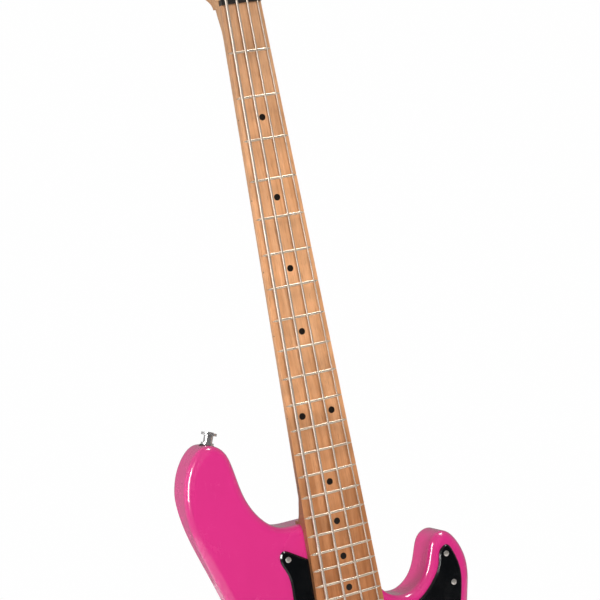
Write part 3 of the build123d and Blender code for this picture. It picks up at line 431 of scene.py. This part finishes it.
# plastics and soft parts, told apart by their own values
plasticDust = (0.30, 0.28, 0.27, 1)
plasticLooks = {
    "guardPlastic": {"colour": (0.0006, 0.0012, 0.0020, 1), "edge": (0.050, 0.040, 0.052, 1), "rough": 0.14,
                     "edgeWidth": 0.5, "hairs": 0.7, "dust": 0.05, "grain": 0.005,
                     "grainScale": 700.0, "coat": 0.1},
    "coverPlastic": {"colour": (0.010, 0.010, 0.012, 1), "edge": (0.05, 0.05, 0.05, 1), "rough": 0.30,
                     "edgeWidth": 0.4, "hairs": 0.5, "dust": 0.22, "grain": 0.010,
                     "grainScale": 1400.0, "coat": 0.2},
    "knobPlastic": {"colour": (0.012, 0.012, 0.014, 1), "edge": (0.07, 0.07, 0.07, 1), "rough": 0.26,
                    "edgeWidth": 0.3, "hairs": 0.6, "dust": 0.22, "grain": 0.008,
                     "grainScale": 1600.0, "coat": 0.3},
    "nutMaterial": {"colour": (0.018, 0.016, 0.015, 1), "edge": (0.06, 0.055, 0.05, 1), "rough": 0.34,
                    "edgeWidth": 0.3, "hairs": 0.5, "dust": 0.12, "grain": 0.010,
                     "grainScale": 900.0, "coat": 0.1},
    "dotInlay": {"colour": (0.010, 0.007, 0.005, 1), "edge": (0.04, 0.03, 0.022, 1), "rough": 0.32,
                 "edgeWidth": 0.2, "hairs": 0.6, "dust": 0.05, "grain": 0.006,
                     "grainScale": 1200.0, "coat": 0.3},
    "coilBobbin": {"colour": (0.020, 0.019, 0.018, 1), "edge": (0.05, 0.05, 0.05, 1), "rough": 0.48,
                   "edgeWidth": 0.3, "hairs": 0.3, "dust": 0.3, "grain": 0.02,
                     "grainScale": 1800.0, "coat": 0.0},
    "cushionFoam": {"colour": (0.045, 0.045, 0.048, 1), "edge": (0.08, 0.08, 0.08, 1), "rough": 0.92,
                    "edgeWidth": 0.6, "hairs": 0.0, "dust": 0.3, "grain": 0.35,
                     "grainScale": 1500.0, "coat": 0.0},
    "wireSleeve": {"colour": (0.30, 0.28, 0.22, 1), "edge": (0.4, 0.38, 0.3, 1), "rough": 0.55,
                   "edgeWidth": 0.2, "hairs": 0.3, "dust": 0.3, "grain": 0.03,
                     "grainScale": 2600.0, "coat": 0.0},
    "strapFelt": {"colour": (0.026, 0.025, 0.026, 1), "edge": (0.06, 0.06, 0.06, 1), "rough": 0.95,
                  "edgeWidth": 0.4, "hairs": 0.0, "dust": 0.4, "grain": 0.25,
                     "grainScale": 2400.0, "coat": 0.0},
}


def mouldedPlastic(name, look):
    material, tree, shader = startFinish(name)
    place = objectPlace(tree)
    base = useGroup(tree, toneDrift, colour=look["colour"], patchSize=25.0, amount=0.25)["colour"]
    worn = useGroup(tree, edgeWear, width=look["edgeWidth"], breakUp=0.35)["mask"]
    edged = mixColour(tree, worn, base, look["edge"])
    dust = useGroup(tree, dustFilm, amount=look["dust"], grainSize=0.45)["mask"]
    feed(tree, mixColour(tree, mathStep(tree, "MULTIPLY", dust, 0.35), edged, plasticDust),
         shader.inputs["Base Color"])
    marks = useGroup(tree, handlingMarks, hairSize=0.4, hairAmount=look["hairs"], smearSize=20.0)
    rough = addShare(tree, look["rough"], marks["hairs"], 0.14)
    rough = mathStep(tree, "ADD", rough, spread(tree, marks["smears"], 0.4, 0.75, (-0.03, 0.07)))
    feed(tree, mathStep(tree, "ADD", rough, dust), shader.inputs["Roughness"])
    shader.inputs["Coat Weight"].default_value = look["coat"]
    shader.inputs["Coat Roughness"].default_value = 0.12
    tooth = noise(tree, place, look["grainScale"], 3.0, 0.6)
    height = mathStep(tree, "SUBTRACT", tooth, mathStep(tree, "MULTIPLY", marks["hairs"], 0.3))
    bumpFrom(tree, shader, height, look["grain"])
    return material


stringLook = {
    "colour": (0.84, 0.74, 0.64, 1),
    # painted shade and grime in the grooves between wrap turns
    "groove": (0.34, 0.27, 0.22, 1),
    "grime": (0.42, 0.35, 0.29, 1),
    "rough": 0.38,
    "metallic": 0.60,
    "wrapPitch": 0.42,   # mm from one turn of wrap wire to the next
    "wrapDepth": 0.03,
}


def roundWoundString(look):
    # wrap wire seen as fine rings across the string, with painted shade and grime darkening the grooves
    material, tree, shader = startFinish("roundWoundSteel")
    place = objectPlace(tree)
    wrap = addNode(tree, "ShaderNodeTexWave", wave_type="BANDS", bands_direction="Z")
    feed(tree, place, wrap.inputs["Vector"])
    wrap.inputs["Scale"].default_value = 2 * pi / (20 * look["wrapPitch"] * mm)
    turns = wrap.outputs[1]
    marks = useGroup(tree, handlingMarks, hairSize=0.4, hairAmount=0.5, smearSize=16.0)
    # painted shade and grime: the grooves between turns are darker
    base = mixColour(tree, spread(tree, turns, 0.05, 0.55), look["groove"], look["colour"])
    cloud = spread(tree, marks["smears"], 0.4, 0.75, (0.0, 0.4))
    base = mixColour(tree, cloud, base, look["grime"])
    feed(tree, useGroup(tree, toneDrift, colour=base, patchSize=30.0, amount=0.12)["colour"],
         shader.inputs["Base Color"])
    shader.inputs["Metallic"].default_value = look["metallic"]
    rough = addShare(tree, look["rough"], cloud, 0.3)
    feed(tree, addShare(tree, rough, marks["hairs"], 0.12), shader.inputs["Roughness"])
    bumpFrom(tree, shader, turns, look["wrapDepth"], 0.7)
    return material


finishes = {
    "lacquer": bodyLacquer(lacquerLook),
    "maple": satinMaple("satinMaple", neckWoodLook),
    "board": satinMaple("boardMaple", boardWoodLook),
    "string_wire": roundWoundString(stringLook),
}
metalSlots = {"steel": "nickelPlate", "screw_steel": "screwSteel", "chrome": "polishedChrome",
              "saddle_steel": "saddleSteel", "fret_wire": "fretNickel", "brass": "paleBrass"}
for slotName, lookName in metalSlots.items():
    finishes[slotName] = platedMetal(lookName, metalLooks[lookName])
plasticSlots = {"guard": "guardPlastic", "black_plastic": "coverPlastic", "knob": "knobPlastic",
                "nut_black": "nutMaterial", "inlay": "dotInlay", "bobbin": "coilBobbin",
                "foam": "cushionFoam", "wire_cover": "wireSleeve", "felt": "strapFelt"}
for slotName, lookName in plasticSlots.items():
    finishes[slotName] = mouldedPlastic(lookName, plasticLooks[lookName])
for part in nodes.values():
    for slot in part.material_slots:
        slot.material = finishes[slot.material.name.split(".")[0]]
print("finishes made and given to the packed parts:", len(finishes))


# geometry node helpers
def geometryTree(name, inputs):
    tree, given, out = newGroup(
        name, [("Geometry", "NodeSocketGeometry", None)] + inputs,
        [("Geometry", "NodeSocketGeometry")], "GeometryNodeTree")
    return tree, given, out["Geometry"]


def geo(tree, kind, settings=None, **values):
    # one node, its settings and the values or outputs that feed it
    made = addNode(tree, kind, **(settings or {}))
    for label, value in values.items():
        feed(tree, value, made.inputs[label.replace("_", " ")])
    return made


def closePiece(tree, shapes, material, out):
    # every tree ends the same way: real geometry, smooth shading and one material
    real = geo(tree, "GeometryNodeRealizeInstances", Geometry=shapes)
    smooth = geo(tree, "GeometryNodeSetShadeSmooth", Geometry=real.outputs[0])
    dressed = geo(tree, "GeometryNodeSetMaterial", Geometry=smooth.outputs[0], Material=material)
    tree.links.new(dressed.outputs[0], out)


def growPiece(name, tree, places, values, sharp=35.0):
    # runs a tree over points that know which way they face, and keeps the result as a plain mesh
    cloud = bpy.data.meshes.new(name + "Places")
    cloud.from_pydata([place for place, facing in places], [], [])
    facings = cloud.attributes.new("facing", "FLOAT_VECTOR", "POINT")
    for index, (place, facing) in enumerate(places):
        facings.data[index].vector = facing
    holder = bpy.data.objects.new(name + "Places", cloud)
    scene.collection.objects.link(holder)
    modifier = holder.modifiers.new("grow", "NODES")
    modifier.node_group = tree
    for item in tree.interface.items_tree:
        if item.in_out == "INPUT" and item.name in values:
            modifier[item.identifier] = values[item.name]
    grown = holder.evaluated_get(bpy.context.evaluated_depsgraph_get())
    mesh = bpy.data.meshes.new_from_object(grown)
    bpy.data.objects.remove(holder)
    mesh.name = name
    mesh.set_sharp_from_angle(angle=radians(sharp))
    piece = bpy.data.objects.new(name, mesh)
    scene.collection.objects.link(piece)
    print("grew", name, len(mesh.polygons), "faces")
    return piece


mergeGap = 0.004 * mm   # corners of loose triangles nearer than this are one


def solidBoxes(nodeName):
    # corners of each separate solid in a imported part, read from a merged copy of its mesh
    copy = bmesh.new()
    copy.from_mesh(nodes[nodeName].data)
    bmesh.ops.remove_doubles(copy, verts=copy.verts, dist=mergeGap)
    left = set(copy.verts)
    boxes = []
    while left:
        island = [left.pop()]
        for vertex in island:
            for edge in vertex.link_edges:
                other = edge.other_vert(vertex)
                if other in left:
                    left.remove(other)
                    island.append(other)
        low = Vector(min(v.co[axis] for v in island) for axis in range(3))
        high = Vector(max(v.co[axis] for v in island) for axis in range(3))
        boxes.append((low, high))
    copy.free()
    return boxes


# screws: one tree, one set of values for each kind
screwDetail = {"ballSegments": 24, "ballRings": 12, "shankSides": 16}


def screwTree(detail):
    tree, given, out = geometryTree("recessedScrews", [
        ("headRadius", number, 0.0028), ("domeHeight", number, 0.0006), ("shankRadius", number, 0.0013),
        ("shankLength", number, 0.008), ("recessReach", number, 0.003), ("recessWidth", number, 0.0007),
        ("recessDepth", number, 0.0008), ("slotted", "NodeSocketBool", False),
        ("turnSeed", "NodeSocketInt", 1), ("metal", "NodeSocketMaterial", None)])
    # head: a flattened ball whose lower half sits in the countersink
    ball = geo(tree, "GeometryNodeMeshUVSphere", Segments=detail["ballSegments"], Rings=detail["ballRings"],
               Radius=1.0)
    size = geo(tree, "ShaderNodeCombineXYZ",
               X=given["headRadius"], Y=given["headRadius"], Z=given["domeHeight"])
    head = geo(tree, "GeometryNodeTransform", Geometry=ball.outputs[0], Scale=size.outputs[0]).outputs[0]
    # recess: one bar or two, cut down into the dome one after the other
    barHeight = mathStep(tree, "MULTIPLY", given["recessDepth"], 2.0)
    lift = geo(tree, "ShaderNodeCombineXYZ", Z=given["domeHeight"])
    for second in (False, True):
        long = geo(tree, "ShaderNodeCombineXYZ", Z=barHeight)
        feed(tree, given["recessReach"], long.inputs[1 if second else 0])
        feed(tree, given["recessWidth"], long.inputs[0 if second else 1])
        bar = geo(tree, "GeometryNodeMeshCube", Size=long.outputs[0])
        raised = geo(tree, "GeometryNodeTransform", Geometry=bar.outputs[0], Translation=lift.outputs[0])
        cut = geo(tree, "GeometryNodeMeshBoolean", {"operation": "DIFFERENCE", "solver": "EXACT"})
        tree.links.new(head, cut.inputs["Mesh 1"])
        tree.links.new(raised.outputs[0], cut.inputs["Mesh 2"])
        if second:
            pick = geo(tree, "GeometryNodeSwitch", {"input_type": "GEOMETRY"}, Switch=given["slotted"])
            tree.links.new(cut.outputs[0], pick.inputs["False"])
            tree.links.new(head, pick.inputs["True"])
            head = pick.outputs[0]
        else:
            head = cut.outputs[0]
    shank = geo(tree, "GeometryNodeMeshCylinder", Vertices=detail["shankSides"],
                Radius=given["shankRadius"], Depth=given["shankLength"])
    down = mathStep(tree, "MULTIPLY", given["shankLength"], -0.5)
    low = geo(tree, "ShaderNodeCombineXYZ", Z=down)
    stem = geo(tree, "GeometryNodeTransform", Geometry=shank.outputs[0], Translation=low.outputs[0])
    whole = geo(tree, "GeometryNodeJoinGeometry")
    for shape in (stem.outputs[0], head):
        tree.links.new(shape, whole.inputs[0])
    # each screw stops at its own angle
    facing = geo(tree, "GeometryNodeInputNamedAttribute", {"data_type": "FLOAT_VECTOR"}, Name="facing")
    aim = geo(tree, "FunctionNodeAlignRotationToVector", {"axis": "Z"}, Vector=facing.outputs[0])
    chance = geo(tree, "FunctionNodeRandomValue", {"data_type": "FLOAT"}, Seed=given["turnSeed"])
    chance.inputs[2].default_value = 0.0
    chance.inputs[3].default_value = pi
    spin = geo(tree, "ShaderNodeCombineXYZ", Z=chance.outputs[1])
    turn = geo(tree, "FunctionNodeEulerToRotation", Euler=spin.outputs[0])
    rotation = geo(tree, "FunctionNodeRotateRotation", {"rotation_space": "LOCAL"},
                   Rotation=aim.outputs[0], Rotate_By=turn.outputs[0])
    spots = geo(tree, "GeometryNodeMeshToPoints", Mesh=given["Geometry"])
    placedScrews = geo(tree, "GeometryNodeInstanceOnPoints",
                       Points=spots.outputs[0], Instance=whole.outputs[0], Rotation=rotation.outputs[0])
    closePiece(tree, placedScrews.outputs[0], given["metal"], out)
    return tree


tipGap = 0.5 * mm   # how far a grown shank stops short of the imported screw's tip

# sizes in millimetres: dome height, shank radius, and the recess's reach, width and depth
screwSets = {
    "pickguard_screws": {"name": "guardScrews", "facing": (0, -1, 0), "dome": 0.9, "shank": 1.3,
                         "reach": 3.3, "width": 1.05, "depth": 0.85, "seed": 4},
    "pickup_screws": {"name": "pickupScrews", "facing": (0, -1, 0), "dome": 1.4, "shank": 1.2,
                      "reach": 2.9, "width": 0.6, "depth": 0.8, "seed": 9},
    "bridge_screws": {"name": "bridgeScrews", "facing": (0, -1, 0), "dome": 1.8, "shank": 1.8,
                      "reach": 4.2, "width": 0.85, "depth": 1.1, "seed": 12},
    "retainer_screw": {"name": "retainerScrew", "facing": (0, -1, 0), "dome": 0.7, "shank": 1.2,
                       "reach": 2.9, "width": 0.6, "depth": 0.6, "seed": 2},
    "neck_screws": {"name": "neckScrews", "facing": (0, 1, 0), "dome": 2.2, "shank": 2.3,
                    "reach": 4.8, "width": 0.95, "depth": 1.3, "seed": 7},
    "tuner_screws": {"name": "tunerScrews", "facing": (0, 1, 0), "dome": 1.2, "shank": 1.4,
                     "reach": 5.2, "width": 0.7, "depth": 0.6, "slotted": True, "seed": 21},
}


def addScrews(tree, nodeName, look):
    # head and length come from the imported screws' own boxes
    boxes = solidBoxes(nodeName)
    front = look["facing"][1] < 0
    places = []
    for low, high in boxes:
        middle = (low + high) / 2
        tip = low.y if front else high.y
        seat = tip + look["dome"] * mm * (1 if front else -1)
        places.append(((middle.x, seat, middle.z), look["facing"]))
    low, high = boxes[0]
    values = {
        "headRadius": (high.x - low.x) / 2, "domeHeight": look["dome"] * mm,
        "shankRadius": look["shank"] * mm,
        "shankLength": (high.y - low.y) - look["dome"] * mm - tipGap,
        "recessReach": look["reach"] * mm, "recessWidth": look["width"] * mm,
        "recessDepth": look["depth"] * mm, "slotted": look.get("slotted", False),
        "turnSeed": look["seed"], "metal": finishes["screw_steel"]}
    piece = growPiece(look["name"], tree, places, values)
    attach(piece, "instrument")
    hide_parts(nodeName)


screws = screwTree(screwDetail)
for nodeName, look in screwSets.items():
    addScrews(screws, nodeName, look)


# frets: each one an arc across the board, spaced by the twelfth root of two
fretLook = {
    "count": 22,
    "scaleLength": 762.0,    # lengths here are in millimetres
    "saddleLine": 78.0,
    "boardRadius": 241.0,
    "crownHeight": 1.1,
    "crownWidth": 2.4,
    "sideInset": 0.3,
    "endRounding": 0.055,    # share of the half width over which a fret's end rounds off
    "arcPoints": 27,
    "rimPoints": 14,
}
stepsPerOctave = 12.0
thinnestEnd = 0.25   # a fret's end keeps this share of its thickness


def fretTree():
    tree, given, out = geometryTree("fretWires", [
        ("fretCount", "NodeSocketInt", 22), ("scaleLength", number, 0.762), ("saddleLine", number, 0.078),
        ("nutLine", number, 0.84), ("boardEnd", number, 0.285), ("nutHalf", number, 0.019),
        ("endHalf", number, 0.032), ("sideInset", number, 0.0003), ("crownLevel", number, -0.03),
        ("boardRadius", number, 0.241), ("wireHeight", number, 0.0011), ("wireHalf", number, 0.0012),
        ("endRounding", number, 0.05), ("arcPoints", "NodeSocketInt", 25), ("rimPoints", "NodeSocketInt", 14),
        ("metal", "NodeSocketMaterial", None)])
    # one arc, two wide, with its points crowded towards both ends
    rod = geo(tree, "GeometryNodeCurvePrimitiveLine", Start=(-1, 0, 0), End=(1, 0, 0))
    fine = geo(tree, "GeometryNodeResampleCurve", Curve=rod.outputs[0], Count=given["arcPoints"])
    along = geo(tree, "GeometryNodeSplineParameter").outputs["Factor"]
    swing = mathStep(tree, "COSINE", mathStep(tree, "MULTIPLY", along, pi))
    across = mathStep(tree, "MULTIPLY", swing, -1.0)
    sag = mathStep(tree, "MULTIPLY", across, across)
    spot = geo(tree, "ShaderNodeCombineXYZ", X=across, Y=sag)
    arc = geo(tree, "GeometryNodeSetPosition", Geometry=fine.outputs[0], Position=spot.outputs[0])
    fromEnd = mathStep(tree, "SUBTRACT", 1.0, mathStep(tree, "ABSOLUTE", across))
    share = mathStep(tree, "SUBTRACT", 1.0, mathStep(tree, "DIVIDE", fromEnd, given["endRounding"]))
    share = mathStep(tree, "MINIMUM", mathStep(tree, "MAXIMUM", share, 0.0), 1.0)
    rounded = mathStep(tree, "SUBTRACT", 1.0, mathStep(tree, "MULTIPLY", share, share))
    thick = mathStep(tree, "MAXIMUM", mathStep(tree, "SQRT", rounded), thinnestEnd)
    tapered = geo(tree, "GeometryNodeStoreNamedAttribute", {"data_type": "FLOAT", "domain": "POINT"},
                  Geometry=arc.outputs[0], Name="thick")
    feed(tree, thick, tapered.inputs["Value"])
    # where each fret goes and how wide the board is there
    index = geo(tree, "GeometryNodeInputIndex").outputs[0]
    steps = mathStep(tree, "DIVIDE", mathStep(tree, "ADD", index, 1.0), -stepsPerOctave)
    reach = mathStep(tree, "MULTIPLY", mathStep(tree, "POWER", 2.0, steps), given["scaleLength"])
    level = mathStep(tree, "ADD", reach, given["saddleLine"])
    fall = mathStep(tree, "SUBTRACT", given["nutLine"], level)
    run = mathStep(tree, "DIVIDE", fall, mathStep(tree, "SUBTRACT", given["nutLine"], given["boardEnd"]))
    wider = mathStep(tree, "MULTIPLY", mathStep(tree, "SUBTRACT", given["endHalf"], given["nutHalf"]), run)
    half = mathStep(tree, "SUBTRACT", mathStep(tree, "ADD", given["nutHalf"], wider), given["sideInset"])
    drop = mathStep(tree, "DIVIDE", mathStep(tree, "MULTIPLY", half, half),
                    mathStep(tree, "MULTIPLY", given["boardRadius"], 2.0))
    line = geo(tree, "GeometryNodeMeshLine", Count=given["fretCount"], Offset=(0, 0, 0))
    place = geo(tree, "ShaderNodeCombineXYZ", Y=given["crownLevel"], Z=level)
    laid = geo(tree, "GeometryNodeSetPosition", Geometry=line.outputs[0], Position=place.outputs[0])
    size = geo(tree, "ShaderNodeCombineXYZ", X=half, Y=drop, Z=1.0)
    copies = geo(tree, "GeometryNodeInstanceOnPoints",
                 Points=laid.outputs[0], Instance=tapered.outputs[0], Scale=size.outputs[0])
    arcs = geo(tree, "GeometryNodeRealizeInstances", Geometry=copies.outputs[0])
    upright = geo(tree, "GeometryNodeSetCurveNormal", {"mode": "Z_UP"}, Curve=arcs.outputs[0])
    ring = geo(tree, "GeometryNodeCurvePrimitiveCircle", Resolution=given["rimPoints"], Radius=1.0)
    flat = geo(tree, "ShaderNodeCombineXYZ", X=given["wireHeight"], Y=given["wireHalf"], Z=1.0)
    wireShape = geo(tree, "GeometryNodeTransform", Geometry=ring.outputs[0], Scale=flat.outputs[0])
    kept = geo(tree, "GeometryNodeInputNamedAttribute", {"data_type": "FLOAT"}, Name="thick")
    wires = geo(tree, "GeometryNodeCurveToMesh", Curve=upright.outputs[0],
                Profile_Curve=wireShape.outputs[0], Scale=kept.outputs[0], Fill_Caps=True)
    closePiece(tree, wires.outputs[0], given["metal"], out)
    return tree


def addFrets(look):
    boardLow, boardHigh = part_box("fingerboard")
    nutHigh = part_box("nut")[1]
    values = {
        "fretCount": look["count"], "scaleLength": look["scaleLength"] * mm,
        "saddleLine": look["saddleLine"] * mm, "nutLine": boardHigh.z, "boardEnd": boardLow.z,
        "nutHalf": nutHigh.x, "endHalf": boardHigh.x, "sideInset": look["sideInset"] * mm,
        "crownLevel": boardLow.y, "boardRadius": look["boardRadius"] * mm,
        "wireHeight": look["crownHeight"] * mm, "wireHalf": look["crownWidth"] / 2 * mm,
        "endRounding": look["endRounding"], "arcPoints": look["arcPoints"],
        "rimPoints": look["rimPoints"], "metal": finishes["fret_wire"]}
    piece = growPiece("fretWires", fretTree(), [((0, 0, 0), (0, 0, 1))], values, sharp=60.0)
    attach(piece, "instrument")
    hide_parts("frets")


addFrets(fretLook)


# studio: pale floor, soft light from the sides and behind, darker towards the viewer
studioLook = {
    "floorRadius": 1.05,
    "floorSegments": 128,
    "floorDrop": 0.2,      # mm below the lowest point
    "floorColour": (0.90, 0.90, 0.90, 1),
    "floorRoughness": 0.75,
    "backdrop": 0.995,
    "front": 0.05,
    "behind": 0.24,
    "left": 0.30,
    "right": 0.22,
    "above": 0.30,
}
# each lamp: place, target, width and height, power, colour, if it shows in the gloss and if it fills
studioLamps = {
    "frontSoftbox": {"place": (-0.2, -2.3, 1.3), "target": (0, 0, 0.45),
                     "size": (1.8, 1.8), "watts": 57.0, "tint": (1.0, 0.985, 0.96),
                     "shines": False, "fills": True},
    "leftStrip": {"place": (-1.75, -0.72, 0.95), "target": (0, 0, 0.45),
                  "size": (0.32, 1.2), "watts": 34.0, "tint": (1.0, 0.99, 0.98),
                  "shines": True, "fills": False},
    "topStrip": {"place": (0.50, -0.22, 2.1), "target": (0, 0, 0.4),
                 "size": (0.55, 0.5), "watts": 14.0, "tint": (1.0, 0.99, 0.98),
                 "shines": True, "fills": False},
    "backSoftbox": {"place": (-1.5, 0.75, 0.7), "target": (0, 0, 0.4),
                    "size": (0.5, 1.4), "watts": 20.0, "tint": (1.0, 1.0, 1.0),
                    "shines": False, "fills": True},
}


def studioFloor(look):
    shape = bmesh.new()
    bmesh.ops.create_circle(shape, cap_ends=True, segments=look["floorSegments"],
                             radius=look["floorRadius"])
    mesh = bpy.data.meshes.new("studioFloor")
    shape.to_mesh(mesh)
    shape.free()
    mesh.transform(Matrix.Translation((0, 0, cadBox[0].z - look["floorDrop"] * mm)))
    floor = bpy.data.objects.new("studioFloor", mesh)
    scene.collection.objects.link(floor)
    material, tree, shader = startFinish("paleFloor")
    drift = useGroup(tree, toneDrift, colour=look["floorColour"], patchSize=300.0, amount=0.03)
    feed(tree, drift["colour"], shader.inputs["Base Color"])
    shader.inputs["Roughness"].default_value = look["floorRoughness"]
    bumpFrom(tree, shader, noise(tree, objectPlace(tree), 60.0, 3.0), 0.05)
    mesh.materials.append(material)


def studioWorld(look):
    world = bpy.data.worlds.new("softStudio")
    scene.world = world
    world.use_nodes = True
    tree = world.node_tree
    tree.nodes.clear()
    split = addNode(tree, "ShaderNodeSeparateXYZ")
    feed(tree, addNode(tree, "ShaderNodeTexCoord").outputs["Generated"], split.inputs[0])
    x, y, z = split.outputs
    behind = spread(tree, y, 0.05, 0.75, (0.0, look["behind"]), smooth=True)
    left = spread(tree, x, -0.45, -0.95, (0.0, look["left"]), smooth=True)
    right = spread(tree, x, 0.6, 0.98, (0.0, look["right"]), smooth=True)
    above = spread(tree, z, 0.35, 0.95, (0.0, look["above"]), smooth=True)
    glow = mathStep(tree, "ADD", look["front"], behind)
    for part in (left, right, above):
        glow = mathStep(tree, "ADD", glow, part)
    soft = addNode(tree, "ShaderNodeBackground")
    soft.inputs["Color"].default_value = (1.0, 0.985, 0.97, 1)
    feed(tree, glow, soft.inputs["Strength"])
    paper = addNode(tree, "ShaderNodeBackground")
    paper.inputs["Color"].default_value = (1, 1, 1, 1)
    paper.inputs["Strength"].default_value = look["backdrop"]
    pick = addNode(tree, "ShaderNodeMixShader")
    feed(tree, addNode(tree, "ShaderNodeLightPath").outputs["Is Camera Ray"], pick.inputs[0])
    tree.links.new(soft.outputs[0], pick.inputs[1])
    tree.links.new(paper.outputs[0], pick.inputs[2])
    tree.links.new(pick.outputs[0], addNode(tree, "ShaderNodeOutputWorld").inputs["Surface"])


def softLight(name, look):
    lamp = bpy.data.lights.new(name, "AREA")
    lamp.shape = "RECTANGLE"
    lamp.size, lamp.size_y = look["size"]
    lamp.energy = look["watts"]
    lamp.color = look["tint"]
    holder = bpy.data.objects.new(name, lamp)
    holder.location = look["place"]
    aim = Vector(look["target"]) - Vector(look["place"])
    holder.rotation_euler = aim.to_track_quat("-Z", "Y").to_euler()
    holder.visible_glossy = look["shines"]
    holder.visible_diffuse = look["fills"]
    scene.collection.objects.link(holder)


studioFloor(studioLook)
studioWorld(studioLook)
for lampName, look in studioLamps.items():
    softLight(lampName, look)

cameraLook = {
    "place": (-0.524, -1.353, 0.627),
    "turnRight": 21.75,
    "tipDown": 2.2,
    "roll": -10.47,
    "lens": 96.0,
    "sensor": 36.0,
    "nearest": 0.05,
}


def addCamera(look):
    lens = bpy.data.cameras.new("viewCamera")
    lens.lens = look["lens"]
    lens.sensor_width = look["sensor"]
    lens.clip_start = look["nearest"]
    holder = bpy.data.objects.new("viewCamera", lens)
    aim = Matrix.Rotation(radians(-look["turnRight"]), 4, "Z")
    aim = aim @ Matrix.Rotation(radians(90 - look["tipDown"]), 4, "X")
    aim = aim @ Matrix.Rotation(radians(look["roll"]), 4, "Z")
    holder.matrix_world = Matrix.Translation(look["place"]) @ aim
    scene.collection.objects.link(holder)
    scene.camera = holder


addCamera(cameraLook)
scene.view_settings.view_transform = "Standard"
print("studio and camera set")
